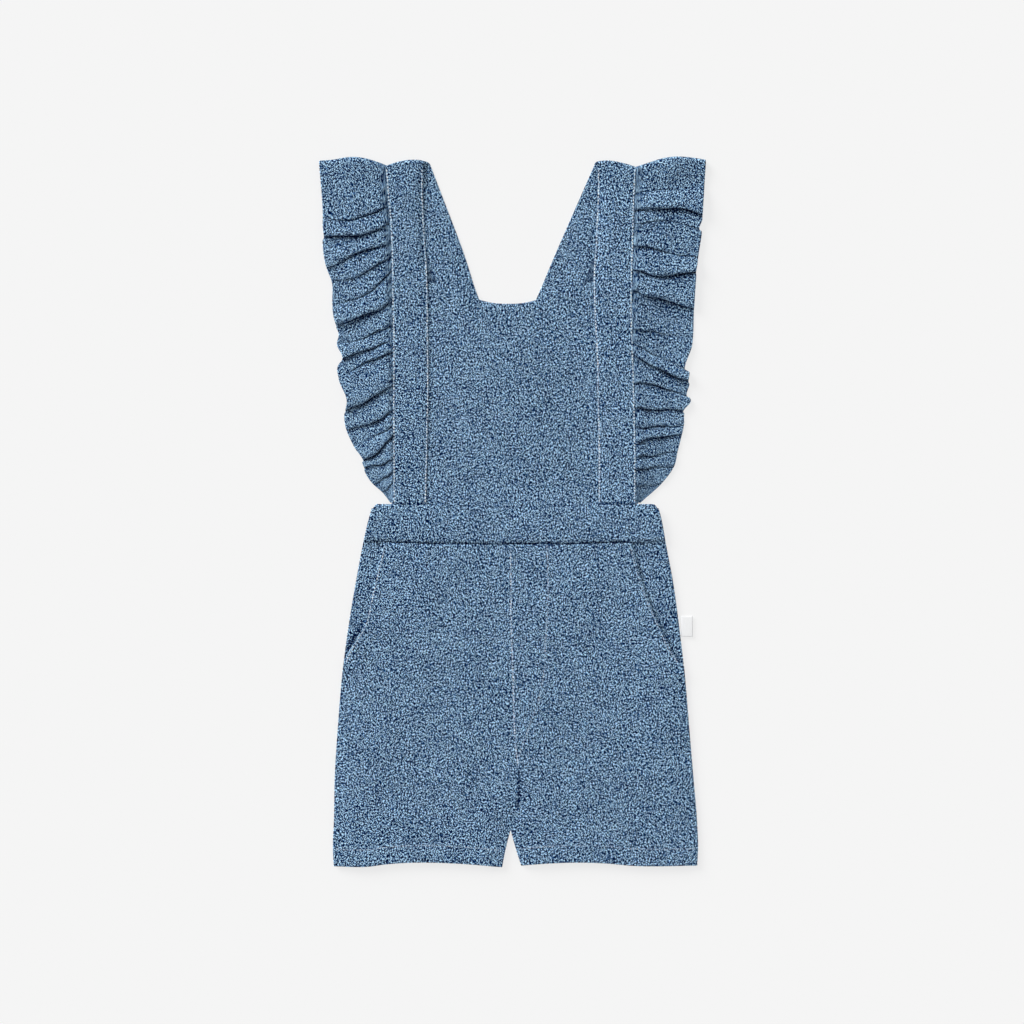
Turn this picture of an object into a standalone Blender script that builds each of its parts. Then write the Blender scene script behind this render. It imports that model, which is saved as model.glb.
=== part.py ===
"""Toddler's shortalls with flutter ruffles, lying flat with the front facing up.

Sizes are in millimetres. Heights run up from the hem and distances across run from the centre line,
negative on the left as seen from above. The finished part is centred on the origin and lies on z = 0.
"""

from collections import namedtuple
from math import pi

import bmesh
import bpy
import numpy as np

MM = 0.001
GAP = 0.3  # between pieces that are sewn together or lie on each other
CLOTH = 1.4  # wall of the knit denim
THIN_CLOTH = 1.2  # bib and ruffles
FACING_CLOTH = 1.0
BAND_CLOTH = 2.8  # the waistband is folded double
EDGE = 0.7  # width of the softened rim round every panel
EDGE_KEEP = 0.5  # share of the wall that is left at the very rim

# What lies on what, from the floor up
LAYER = CLOTH + GAP  # underside of what lies on the back panels and back straps
STRAP_UNDERSIDE = LAYER + THIN_CLOTH + GAP  # the front straps lie on the bib's sides
SHOULDER_HEIGHT = STRAP_UNDERSIDE + CLOTH
PANEL_UNDERSIDE = LAYER + FACING_CLOTH + GAP  # the front panels pass over the pocket facings
WAIST_UNDERSIDE = 2.0
BACK_WAIST_CLOTH = 1.7

WAIST_TOP = 255.6
WAIST_SEAM_END = 229.6  # seam between waistband and shorts, at the sides
WAIST_SEAM_DIP = 1.8  # how much lower that seam is at the centre
WAIST_CORNER = 3.0
WAIST_WIDTH = 205.0
BAND_SWELL = 0.3  # the band's middle stands a little higher than its seams
CROTCH = 26.1
LEG_WIDTH = 115.0
LEG_OPENING_ROWS = 4
SIDE_FALL = 16.0  # width over which a front leg panel comes down to its side seam
SIDE_FLAT = 14.0  # the folds fade out this near to the side seam
INSEAM_FALL = 12.0  # the same fall at the inseams, fading out above the crotch over the next size
SEAT_FADE = 30.0
HIDDEN_INSET = 0.4  # how far the back pieces stay inside the front ones
STRAP_END = WAIST_TOP + GAP

Side = namedtuple("Side", "height left right")
SIDE_SEAMS = [
    Side(256.0, -98.0, 101.8),
    Side(245.0, -101.2, 104.8),
    Side(229.0, -104.9, 107.7),
    Side(201.0, -110.2, 113.0),
    Side(167.0, -115.8, 117.6),
    Side(133.0, -120.1, 121.5),
    Side(99.0, -122.9, 124.3),
    Side(66.0, -125.0, 127.1),
    Side(32.0, -125.7, 129.9),
    Side(15.0, -126.4, 130.6),
    Side(0.0, -125.7, 129.9),
]
POCKET_OPENINGS = [
    Side(228.0, -91.0, 84.0),
    Side(195.0, -98.9, 93.3),
    Side(169.0, -105.4, 104.4),
    Side(146.0, -118.0, 116.6),
    Side(141.5, -119.2, 120.4),
]
POCKET_FOOT = 143.0  # below this the front panel reaches the side seam
FACING_TOP = WAIST_SEAM_END - 0.9
FACING_WIDTH = 30.0
FACING_LAP = 14.0  # how far the facing reaches in under the front panel
FACING_STEP = (16.0, 4.0)  # above the pocket's foot minus these the panel rises over the facing
Centre = namedtuple("Centre", "height across")
CENTRE_SEAM = [
    Centre(228.0, -2.5),
    Centre(179.0, -1.1),
    Centre(132.0, 0.4),
    Centre(89.0, 1.8),
    Centre(65.0, 2.5),
    Centre(44.0, 1.4),
    Centre(CROTCH, -1.4),
]
INSEAMS = [
    Side(CROTCH, -1.4, -1.4),
    Side(13.0, -4.6, 2.2),
    Side(0.0, -7.2, 6.4),
]

Hem = namedtuple("Hem", "across height")
HEM = [
    Hem(-126, 0.7),
    Hem(-100, 0.7),
    Hem(-92, 1.8),
    Hem(-34, 2.4),
    Hem(-20, 1.3),
    Hem(-7, 0.2),
    Hem(6, 1.2),
    Hem(17, 2.2),
    Hem(71, 2.4),
    Hem(80, 1.5),
    Hem(130, 1.2),
]

Neck = namedtuple("Neck", "across height")
NECKLINE = [
    Neck(-80.0, 419.0),
    Neck(-61.0, 412.7),
    Neck(-42.0, 406.0),
    Neck(-24.0, 399.6),
    Neck(-16.0, 397.5),
    Neck(-3.0, 396.5),
    Neck(10.0, 397.5),
    Neck(17.0, 399.3),
    Neck(37.0, 406.0),
    Neck(58.0, 412.7),
    Neck(80.0, 419.0),
]
BIB_TUCK = 4.5  # how far inside the straps' outer edges the bib ends
BIB_HALF, BIB_LENGTH = 80.0, 150.0
BIB_OPEN_HALF = 59.0  # half of the bib's width between the straps
BIB_FLAT = 14.0  # the folds fade out this near to the straps

StrapEdge = namedtuple("StrapEdge", "height left_outer left_inner right_outer right_inner")
STRAP_EDGES = [
    StrapEdge(494.4, -88.4, -63.4, 86.3, 60.2),
    StrapEdge(470.0, -87.7, -62.3, 85.9, 60.2),
    StrapEdge(434.0, -86.3, -60.9, 84.9, 59.5),
    StrapEdge(413.0, -85.9, -60.2, 84.4, 57.9),
    StrapEdge(378.0, -85.1, -59.9, 84.2, 58.8),
    StrapEdge(343.0, -84.4, -59.9, 84.9, 60.2),
    StrapEdge(308.0, -84.2, -60.0, 86.0, 61.6),
    StrapEdge(256.0, -84.2, -62.0, 86.3, 61.6),
]

# The line of each shoulder fold, from a strap's outer edge (share 0) to its inner edge (1)
Crown = namedtuple("Crown", "share left right")
STRAP_CROWN = [
    Crown(0.00, 493.7, 492.9),
    Crown(0.15, 495.2, 494.3),
    Crown(0.42, 497.2, 496.2),
    Crown(0.65, 497.9, 497.3),
    Crown(0.85, 497.2, 497.0),
    Crown(1.00, 494.4, 495.0),
]
# The same for the ruffles, from the sewn edge (0) to the free edge (1)
RUFFLE_CROWN = [
    Crown(0.00, 493.7, 492.9),
    Crown(0.18, 497.2, 495.8),
    Crown(0.36, 499.3, 498.6),
    Crown(0.55, 499.7, 500.0),
    Crown(0.80, 497.9, 499.4),
    Crown(1.00, 497.2, 497.9),
]

# side: -1 is the left strap. slant is how far the back strap moves in for each unit down.
# shoulder_shift is how far the shoulder fold itself carries the strap inwards.
Strap = namedtuple("Strap", "name side slant shoulder_shift lies_over ruffle_tip")
STRAPS = [
    Strap("left", -1, 0.385, 5.2, True, 136.0),
    Strap("right", 1, 0.44, 2.3, False, 136.0),
]
CROSSING = 323.0  # height where the back straps cross
CROSSING_HALF = 35.0  # the upper strap stays lifted this far up and down from there
CROSSING_RAMP = 16.0
BIB_OVER_CROSSING = 38.0
BIB_CROSSING_RAMP = 26.0
BIB_OVER_STRAP = (21.0, 40.0)  # the bib comes down between these distances beside the upper strap
STRAP_WIDTH, STRAP_LENGTH = 25.0, 238.0

# One row for each fold of a ruffle, from the shoulder down. The fold's lower lip lies above a crease
# that starts at height seam on the sewn edge and ends at height free on the free edge, tip from the
# centre line. sag is how far its middle hangs below a straight line. at_seam, midway and at_tip are
# how deep the crease is there, and nick is how far it cuts into the free edge.
Fold = namedtuple("Fold", "seam free tip sag at_seam midway at_tip nick")
RUFFLE_FOLDS = {
    "left": [
        Fold(464.8, 457.0, 133.5, 3.2, 0.8, 0.6, 0.5, 0.0),
        Fold(452.8, 443.7, 133.8, 3.5, 2.0, 4.0, 3.5, 1.1),
        Fold(439.4, 421.0, 130.6, -1.4, 2.0, 2.5, 2.0, 0.0),
        Fold(430.3, 412.7, 128.5, 4.2, 2.0, 2.0, 0.6, 0.0),
        Fold(419.7, 396.0, 126.8, 5.6, 2.0, 2.0, 0.6, 0.0),
        Fold(397.9, 381.7, 125.0, 2.1, 2.5, 4.0, 4.0, 0.7),
        Fold(381.7, 368.5, 123.6, 2.1, 2.0, 1.5, 0.3, 0.0),
        Fold(371.5, 357.7, 123.6, 0.0, 0.6, 3.0, 3.5, 3.2),
        Fold(362.7, 344.4, 122.5, -0.7, 1.5, 1.5, 0.5, 0.0),
        Fold(338.7, 321.1, 118.3, 0.7, 2.5, 4.0, 4.0, 0.7),
        Fold(321.1, 307.7, 116.9, 2.1, 2.0, 2.5, 1.2, 0.0),
        Fold(311.3, 297.2, 111.3, 2.1, 1.8, 0.8, 0.4, 0.0),
        Fold(304.2, 286.5, 106.3, 2.8, 2.5, 3.5, 3.0, 1.1),
        Fold(287.3, 281.0, 105.0, 0.7, 2.0, 2.0, 2.0, 0.7),
        Fold(278.9, 269.7, 98.2, 1.4, 1.8, 1.5, 1.0, 0.0),
        Fold(271.1, 264.1, 91.9, 0.7, 1.5, 1.0, 0.8, 0.0),
        Fold(257.0, 258.6, 86.6, 0.0, 0.8, 0.5, 0.3, 0.0),
    ],
    "right": [
        Fold(473.9, 479.6, 134.2, 0.0, 0.8, 0.5, 0.3, 0.0),
        Fold(461.3, 458.5, 133.1, -3.9, 2.0, 4.0, 4.0, 0.0),
        Fold(452.8, 449.3, 132.4, -3.0, 1.5, 0.8, 1.2, 2.1),
        Fold(437.3, 428.9, 130.6, 0.0, 2.0, 2.0, 0.8, 0.0),
        Fold(420.4, 419.0, 129.6, 3.5, 2.5, 4.0, 4.0, 0.4),
        Fold(405.6, 393.0, 127.8, 0.7, 2.5, 4.0, 4.0, 0.0),
        Fold(378.2, 373.0, 127.1, 0.0, 1.8, 0.8, 0.3, 0.0),
        Fold(369.0, 350.0, 124.6, 0.0, 1.5, 0.8, 2.0, 3.5),
        Fold(361.4, 342.3, 124.6, 2.8, 2.5, 4.5, 4.5, 0.7),
        Fold(340.1, 334.5, 124.3, -2.1, 2.0, 2.5, 1.2, 1.4),
        Fold(323.2, 321.1, 122.9, 0.0, 2.0, 2.5, 2.5, 2.8),
        Fold(309.9, 311.3, 120.1, 1.1, 2.0, 2.0, 1.0, 0.0),
        Fold(297.2, 304.2, 118.3, -2.1, 2.5, 3.0, 1.5, 0.0),
        Fold(288.7, 292.3, 115.5, 0.0, 2.0, 1.5, 0.6, 0.0),
        Fold(279.6, 282.4, 112.7, 0.0, 2.0, 1.5, 1.0, 0.0),
        Fold(267.6, 270.4, 104.2, 0.0, 1.5, 1.0, 0.8, 0.0),
        Fold(257.0, 258.6, 90.2, 0.0, 0.8, 0.5, 0.3, 0.0),
    ],
}
# How high a fold stands, as a share of its depth, from one crease down to the next
FoldStep = namedtuple("FoldStep", "down share")
FOLD_STEPS = [
    FoldStep(0.22, 0.5),
    FoldStep(0.5, 0.88),
    FoldStep(0.8, 1.0),
    FoldStep(0.93, 0.74),
    FoldStep(1.0, 0.0),
]
RUFFLE_ACROSS = (0.0, 0.04, 0.13, 0.28, 0.48, 0.7, 0.98, 1.0)
RUFFLE_PUFF = 1.0  # the gathers swell beside the seam
RUFFLE_BACK_LENGTH = 104.0
RUFFLE_BACK_END = 5.0  # width at its end behind the shoulder
CLEAR_OF_BACK = THIN_CLOTH + 0.4  # the front ruffle's underside over the back ruffle
SHOULDER_PUFF = 2.0  # how much fuller the shoulder fold is in the ruffle's middle

# Soft folds of the flat panels: a ridge at across, height, running at an angle, with half its length
# and width, and how high it stands
Ridge = namedtuple("Ridge", "across height angle reach width rise")
RIDGES = [
    Ridge(-60, 196, 75, 34, 9, 0.6),
    Ridge(-28, 150, 82, 44, 9, 0.5),
    Ridge(-90, 96, 96, 40, 9, 0.6),
    Ridge(-45, 62, 70, 34, 8, 0.6),
    Ridge(-16, 40, 48, 22, 7, 0.7),
    Ridge(-72, 32, 88, 24, 8, 0.5),
    Ridge(38, 188, 100, 38, 9, 0.6),
    Ridge(74, 140, 84, 40, 9, 0.5),
    Ridge(28, 108, 96, 36, 9, 0.5),
    Ridge(98, 78, 82, 38, 9, 0.6),
    Ridge(48, 46, 112, 30, 8, 0.6),
    Ridge(20, 42, 130, 22, 7, 0.7),
    Ridge(-38, 288, 80, 22, 9, 0.4),
    Ridge(32, 300, 96, 26, 9, 0.5),
    Ridge(-30, 366, 100, 24, 9, 0.5),
    Ridge(26, 368, 78, 22, 9, 0.4),
]

LABEL_LOW, LABEL_HIGH = 162.2, 176.8
LABEL_START, LABEL_TIP = 118.6, 126.9
LABEL_UNDERSIDE, LABEL_CLOTH = 0.6, 1.2

DENIM = (0.112, 0.191, 0.296)
DENIM_SHADE = (0.088, 0.155, 0.245)
LABEL_WHITE = (0.86, 0.88, 0.87)


def smooth(low, high, value):
    share = np.clip((value - low) / (high - low), 0.0, 1.0)
    return share * share * (3 - 2 * share)


def read(rows, column, at):
    """A smooth curve through one column of a table, at a value of the table's first column."""
    rows = sorted(rows, key=lambda row: row[0])
    xs = np.array([row[0] for row in rows], float)
    ys = np.array([getattr(row, column) for row in rows], float)
    slopes = np.gradient(ys, xs)
    at = np.clip(np.asarray(at, float), xs[0], xs[-1])
    i = np.clip(np.searchsorted(xs, at) - 1, 0, len(xs) - 2)
    gap = xs[i + 1] - xs[i]
    t = (at - xs[i]) / gap
    start = (1 + 2 * t) * (1 - t) ** 2 * ys[i] + t * (1 - t) ** 2 * gap * slopes[i]
    end = t * t * (3 - 2 * t) * ys[i + 1] - t * t * (1 - t) * gap * slopes[i + 1]
    return start + end


def mix(start, end, share):
    return start + (end - start) * share


def stations(count, length):
    """Shares from 0 to 1 along a side, with one close to each end for the softened rim."""
    rim = EDGE / length
    return np.concatenate([[0.0], np.linspace(rim, 1 - rim, count), [1.0]])


def ridges(across, height):
    rise = np.zeros(np.broadcast(across, height).shape)
    for ridge in RIDGES:
        turn = np.radians(ridge.angle)
        dx, dy = across - ridge.across, height - ridge.height
        along = (dx * np.cos(turn) + dy * np.sin(turn)) / ridge.reach
        beside = (dy * np.cos(turn) - dx * np.sin(turn)) / ridge.width
        rise += ridge.rise * np.clip(1 - along**2, 0, 1) ** 2 * np.exp(-(beside**2))
    return rise


def points(x, y, z):
    return np.stack(np.broadcast_arrays(x, y, z), axis=-1)


def underside(top, wall, lowest):
    """The wall's other face, wall away from the top along its slope, and no lower than lowest."""
    normal = np.cross(np.gradient(top, axis=0), np.gradient(top, axis=1))
    level = np.abs(normal[..., 2]) / np.maximum(np.linalg.norm(normal, axis=-1), 1e-9)
    under = top.copy()
    under[..., 2] = np.maximum(top[..., 2] - wall / np.maximum(level, 0.4), lowest)
    return under


def material_of(name, colour, roughness):
    material = bpy.data.materials.new(name)
    material.use_nodes = True
    shader = material.node_tree.nodes["Principled BSDF"]
    shader.inputs["Base Color"].default_value = (*colour, 1)
    shader.inputs["Roughness"].default_value = roughness
    shader.inputs["Metallic"].default_value = 0.0
    return material


def add_object(name, mesh, colour):
    bmesh.ops.recalc_face_normals(mesh, faces=mesh.faces)
    if mesh.calc_volume(signed=True) < 0:
        bmesh.ops.reverse_faces(mesh, faces=mesh.faces)
    data = bpy.data.meshes.new(name)
    mesh.to_mesh(data)
    mesh.free()
    data.shade_smooth()
    data.set_sharp_from_angle(angle=pi / 4)
    data.materials.append(material_of(name + "_cloth", colour, 0.9))
    bpy.context.scene.collection.objects.link(bpy.data.objects.new(name, data))


def cloth_wall(name, outer, inner, colour):
    """A closed wall between two faces of the same grid of points, with its rim softened."""
    middle = (outer + inner) / 2
    for face in (outer, inner):
        for rim in (np.s_[0, :], np.s_[-1, :], np.s_[1:-1, 0], np.s_[1:-1, -1]):
            face[rim] = mix(middle[rim], face[rim], EDGE_KEEP)
    rows, columns = outer.shape[:2]
    mesh = bmesh.new()
    bmesh.ops.create_grid(mesh, x_segments=columns - 1, y_segments=rows - 1, size=1)
    sheet = list(mesh.verts)
    copy = bmesh.ops.extrude_face_region(mesh, geom=mesh.faces[:])["geom"]
    raised = [element for element in copy if isinstance(element, bmesh.types.BMVert)]
    for face, verts in ((inner, sheet), (outer, raised)):
        for vert in verts:
            column = round((vert.co.x + 1) / 2 * (columns - 1))
            row = round((vert.co.y + 1) / 2 * (rows - 1))
            vert.co = face[row, column] * MM
    add_object(name, mesh, colour)


def waist_seam(x):
    """Height of the seam below the waistband."""
    return WAIST_SEAM_END - WAIST_SEAM_DIP * (1 - (x / SIDE_SEAMS[2].right) ** 2)


def inner_seam(side, y):
    """The centre seam, and the inseam below the crotch."""
    return np.where(y > CROTCH, read(CENTRE_SEAM, "across", y), read(INSEAMS, side, y))


def leg_grid(outer_edge, side, inset, columns, rows):
    """Points of one leg panel, from its outer edge to the centre seam, with a row at the crotch."""
    outward = -1 if side == "left" else 1
    share = stations(columns, LEG_WIDTH)[None, :]
    rim = EDGE / CROTCH
    seat = np.concatenate([[0.0], np.linspace(EDGE / (WAIST_SEAM_END - CROTCH), 1.0, rows)])[:, None]
    leg = np.concatenate([np.linspace(0.0, 1 - rim, LEG_OPENING_ROWS)[1:], [1.0]])[:, None]
    x = outward * LEG_WIDTH * (1 - share)
    for _ in range(3):
        seat_y = mix(waist_seam(x[0]) - GAP, CROTCH, seat)
        leg_y = mix(CROTCH, read(HEM, "height", x[-1]) + inset, leg)
        y = np.concatenate([seat_y, leg_y])
        inner = inner_seam(side, y) + outward * GAP / 2
        x = mix(outer_edge(y) - outward * inset, inner, share)
    return x, y


def build_shorts(side):
    outward = -1 if side == "left" else 1

    def side_seam(y):
        return read(SIDE_SEAMS, side, y)

    def front_edge(y):
        opening = read(POCKET_OPENINGS, side, y)
        opening = outward * np.minimum(opening * outward, side_seam(y) * outward)
        return np.where(y > POCKET_FOOT, opening, side_seam(y))

    x, y = leg_grid(side_seam, side, HIDDEN_INSET, 9, 11)
    cloth_wall(f"shorts_back_{side}", points(x, y, CLOTH), points(x, y, 0.0), DENIM)

    x, y = leg_grid(front_edge, side, 0.0, 12, 19)
    from_side = (side_seam(y) - x) * outward
    over_facing = smooth(POCKET_FOOT - FACING_STEP[0], POCKET_FOOT - FACING_STEP[1], y)
    fullness = np.maximum(smooth(0, SIDE_FALL, from_side), over_facing)
    leg = 1 - smooth(CROTCH, CROTCH + SEAT_FADE, y)
    from_inseam = np.abs(x - inner_seam(side, y))
    fullness = fullness * mix(1.0, smooth(0, INSEAM_FALL, from_inseam), leg)
    level = LAYER + (PANEL_UNDERSIDE - LAYER) * fullness
    crease = ridges(x, y) * smooth(0, SIDE_FLAT, from_side)
    top = points(x, y, level + CLOTH + crease)
    cloth_wall(f"shorts_front_{side}", top, underside(top, CLOTH, LAYER), DENIM)

    share = stations(4, FACING_WIDTH)[None, :]
    height = mix(FACING_TOP, POCKET_FOOT, stations(8, FACING_TOP - POCKET_FOOT))[:, None]
    inner_edge = read(POCKET_OPENINGS, side, height) - outward * FACING_LAP
    x = mix(inner_edge, side_seam(height), share)
    y = np.minimum(height + 0 * x, waist_seam(x) - GAP)
    top, under = points(x, y, LAYER + FACING_CLOTH), points(x, y, LAYER)
    cloth_wall(f"pocket_facing_{side}", top, under, DENIM_SHADE)


def build_waistband():
    corner_share = WAIST_CORNER / WAIST_WIDTH
    near_end = np.array([0.5 * corner_share, corner_share])
    share = np.concatenate([stations(20, WAIST_WIDTH), near_end, 1 - near_end])
    share = np.sort(share)[None, :]
    down = stations(4, WAIST_TOP - WAIST_SEAM_END)[:, None]
    for name, low, wall, inset in (
        ("waistband_front", WAIST_UNDERSIDE, BAND_CLOTH, 0.0),
        ("waistband_back", 0.0, BACK_WAIST_CLOTH, HIDDEN_INSET),
    ):
        x = mix(SIDE_SEAMS[0].left, SIDE_SEAMS[0].right, share)
        for _ in range(3):
            from_end = np.minimum(x - SIDE_SEAMS[0].left, SIDE_SEAMS[0].right - x)
            corner = WAIST_CORNER * np.clip(1 - from_end / WAIST_CORNER, 0, 1) ** 2
            y = mix(WAIST_TOP - corner, waist_seam(x), down)
            x = mix(read(SIDE_SEAMS, "left", y) + inset, read(SIDE_SEAMS, "right", y) - inset, share)
        swell = BAND_SWELL * np.sin(pi * down) if name == "waistband_front" else 0.0
        cloth_wall(name, points(x, y, low + wall + swell), points(x, y, low), DENIM)


def strap_centre(strap, y):
    """Middle of a back strap at a height."""
    top = STRAP_EDGES[0]
    outer, inner = getattr(top, strap.name + "_outer"), getattr(top, strap.name + "_inner")
    drop = top.height - y
    return (outer + inner) / 2 - strap.side * (strap.shoulder_shift + strap.slant * drop)


def build_bib():
    over = next(strap for strap in STRAPS if strap.lies_over)
    share = stations(19, 2 * BIB_HALF)[None, :]
    up = stations(13, BIB_LENGTH)[:, None]
    x = mix(-BIB_HALF, BIB_HALF, share)
    for _ in range(3):
        y = mix(STRAP_END, read(NECKLINE, "height", x), up)
        left = read(STRAP_EDGES, "left_outer", y) + BIB_TUCK
        right = read(STRAP_EDGES, "right_outer", y) - BIB_TUCK
        x = mix(left, right, share)
    near = 1 - smooth(BIB_OVER_CROSSING, BIB_OVER_CROSSING + BIB_CROSSING_RAMP, np.abs(y - CROSSING))
    beside = 1 - smooth(*BIB_OVER_STRAP, np.abs(x - strap_centre(over, y)))
    between_straps = smooth(0, BIB_FLAT, BIB_OPEN_HALF - np.abs(x))
    z = LAYER + THIN_CLOTH + LAYER * near * beside + ridges(x, y) * between_straps
    top = points(x, y, z)
    cloth_wall("bib_front", top, underside(top, THIN_CLOTH, LAYER), DENIM)


def fold_over(x, crown, radius, wall, turns, shift):
    """Both faces of a shoulder fold: a half circle from the front down to the floor."""
    angle = turns[:, None]
    x = x + shift * smooth(0, pi, angle)
    faces = []
    for reach in (radius, radius - wall):
        faces.append(points(x, crown - radius + reach * np.sin(angle), radius + reach * np.cos(angle)))
    return faces


def build_strap(strap):
    across = stations(5, STRAP_WIDTH)[None, :]
    radius = SHOULDER_HEIGHT / 2
    crown = read(STRAP_CROWN, strap.name, across)
    bend = crown - radius

    def edges(y):
        outer = read(STRAP_EDGES, strap.name + "_outer", y)
        return mix(outer, read(STRAP_EDGES, strap.name + "_inner", y), across)

    y = mix(STRAP_END, bend, stations(10, STRAP_LENGTH)[:-1, None])
    front = [points(edges(y), y, z) for z in (SHOULDER_HEIGHT, STRAP_UNDERSIDE)]
    shift = -strap.side * strap.shoulder_shift
    shoulder = fold_over(edges(bend), crown, radius, CLOTH, np.linspace(0, pi, 8), shift)
    y = mix(bend, STRAP_END, stations(24, STRAP_LENGTH)[1:, None])
    x = edges(bend) + shift - strap.side * strap.slant * (bend - y)
    lift = 1 - smooth(CROSSING_HALF, CROSSING_HALF + CROSSING_RAMP, np.abs(y - CROSSING))
    low = LAYER * lift * strap.lies_over
    back = [points(x, y, low), points(x, y, low + CLOTH)]
    outer, inner = (np.concatenate(parts) for parts in zip(front, shoulder, back))
    cloth_wall(f"strap_{strap.name}", outer, inner, DENIM)


def ruffle_front(strap, across, seam_x):
    """Top points of a ruffle's front, from the shoulder fold down to the waistband."""
    crown = read(RUFFLE_CROWN, strap.name, across)
    fullness = np.sin(pi * across) ** 2
    radius = (SHOULDER_HEIGHT + SHOULDER_PUFF * fullness) / 2
    bend = crown - radius
    rows, reach, before = [], [], None
    for fold in RUFFLE_FOLDS[strap.name]:
        line = mix(fold.seam, fold.free, across) - fold.sag * 4 * across * (1 - across)
        depth = np.interp(across, (0.0, 0.5, 1.0), (fold.at_seam, fold.midway, fold.at_tip))
        start = bend if before is None else before[0]
        tip_start = strap.ruffle_tip if before is None else before[1].tip
        nick_start = 0.0 if before is None else before[1].nick
        for step in FOLD_STEPS:
            y = mix(start, line, step.down)
            tip = mix(tip_start, fold.tip, step.down)
            tip -= fold.nick * smooth(0.86, 1.0, step.down) + nick_start * (1 - smooth(0.0, 0.3, step.down))
            x = mix(seam_x(y), tip, across)
            clear = CLEAR_OF_BACK * smooth(395.0, 425.0, y)
            creased = mix(SHOULDER_HEIGHT - 0.2, THIN_CLOTH + clear, smooth(0.0, 0.34, across))
            swell = RUFFLE_PUFF * np.sin(pi * np.minimum(across / 0.6, 1.0)) * mix(0.4, 1.0, step.share)
            z = creased + swell + depth * step.share
            if before is None:
                z = mix(2 * radius, z, smooth(0.0, 1.0, step.down))
            rows.append(points(x * strap.side, y, z))
            reach.append(clear)
        before = (line, fold)
    return radius, bend, np.array(rows), np.array(reach)


def build_ruffle(strap):
    across = np.array(RUFFLE_ACROSS)

    def seam_x(y):
        return np.abs(read(STRAP_EDGES, strap.name + "_outer", y)) + GAP

    radius, bend, top, lowest = ruffle_front(strap, across, seam_x)
    under = underside(top, THIN_CLOTH, lowest)
    top_x = mix(seam_x(bend), strap.ruffle_tip, across) * strap.side
    shift = -strap.side * strap.shoulder_shift
    shoulder = fold_over(top_x, bend + radius, radius, THIN_CLOTH, np.linspace(0, pi, 8), shift)
    down = stations(6, RUFFLE_BACK_LENGTH)[1:, None]
    y = bend - RUFFLE_BACK_LENGTH * down * mix(1.0, 0.9, across)
    width = mix(strap.ruffle_tip - seam_x(bend[0]), RUFFLE_BACK_END, down**1.4)
    in_line = seam_x(bend[0]) - strap.shoulder_shift - strap.slant * (bend[0] - y)
    x = (in_line + width * across) * strap.side
    back = [points(x, y, 0.0), points(x, y, THIN_CLOTH)]
    outer = np.concatenate([top[::-1], shoulder[0], back[0]])
    inner = np.concatenate([under[::-1], shoulder[1], back[1]])
    cloth_wall(f"ruffle_{strap.name}", outer, inner, DENIM)


def build_label():
    mesh = bmesh.new()
    bmesh.ops.create_cube(mesh, size=1)
    size = np.array([LABEL_TIP - LABEL_START, LABEL_HIGH - LABEL_LOW, LABEL_CLOTH])
    centre = np.array(
        [LABEL_START + LABEL_TIP, LABEL_LOW + LABEL_HIGH, 2 * LABEL_UNDERSIDE + LABEL_CLOTH]
    ) / 2
    bmesh.ops.scale(mesh, vec=size, verts=mesh.verts)
    bmesh.ops.translate(mesh, vec=centre, verts=mesh.verts)
    folded = [edge for edge in mesh.edges if all(vert.co.x > centre[0] for vert in edge.verts)]
    folded = [edge for edge in folded if edge.verts[0].co.z == edge.verts[1].co.z]
    bmesh.ops.bevel(
        mesh, geom=folded, offset=LABEL_CLOTH * 0.45, segments=4, profile=0.5, affect="EDGES", material=-1
    )
    bmesh.ops.scale(mesh, vec=(MM, MM, MM), verts=mesh.verts)
    add_object("side_label", mesh, LABEL_WHITE)


def centre_on_floor():
    """Moves every mesh so that the whole part is centred on the origin and lies on the floor."""
    objects = [item for item in bpy.data.objects if item.type == "MESH"]
    corners = np.array([corner for item in objects for corner in item.bound_box])
    low, high = corners.min(axis=0), corners.max(axis=0)
    for item in objects:
        for vert in item.data.vertices:
            vert.co.x -= (low[0] + high[0]) / 2
            vert.co.y -= (low[1] + high[1]) / 2
            vert.co.z -= low[2]


def main():
    for item in list(bpy.data.objects):
        bpy.data.objects.remove(item, do_unlink=True)
    build_waistband()
    build_bib()
    for side in ("left", "right"):
        build_shorts(side)
    for strap in STRAPS:
        build_strap(strap)
        build_ruffle(strap)
    build_label()
    bpy.context.view_layer.update()
    centre_on_floor()


main()
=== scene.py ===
from math import pi, radians

import bmesh
import bpy
import numpy as np
from mathutils import Matrix, Vector


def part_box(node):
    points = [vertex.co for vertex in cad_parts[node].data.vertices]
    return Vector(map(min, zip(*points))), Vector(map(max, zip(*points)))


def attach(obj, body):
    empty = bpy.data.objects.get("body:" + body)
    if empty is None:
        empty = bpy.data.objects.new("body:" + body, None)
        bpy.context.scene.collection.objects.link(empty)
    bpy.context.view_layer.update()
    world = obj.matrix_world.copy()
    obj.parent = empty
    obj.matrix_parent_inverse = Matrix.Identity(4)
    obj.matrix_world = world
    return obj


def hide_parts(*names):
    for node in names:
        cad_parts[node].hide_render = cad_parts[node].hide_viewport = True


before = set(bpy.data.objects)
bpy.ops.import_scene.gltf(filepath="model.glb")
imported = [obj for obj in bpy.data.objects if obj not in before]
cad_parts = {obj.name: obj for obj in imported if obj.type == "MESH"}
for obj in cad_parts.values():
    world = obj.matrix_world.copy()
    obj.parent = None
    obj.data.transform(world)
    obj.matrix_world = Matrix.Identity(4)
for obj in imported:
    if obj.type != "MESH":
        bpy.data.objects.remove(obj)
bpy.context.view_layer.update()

# Toddler's knit denim shortalls, lying flat with the front up.
# The tables are in millimetres: heights run up from the hem, distances across run from the centre line
# and are negative on the left, and z starts at the floor.

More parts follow.
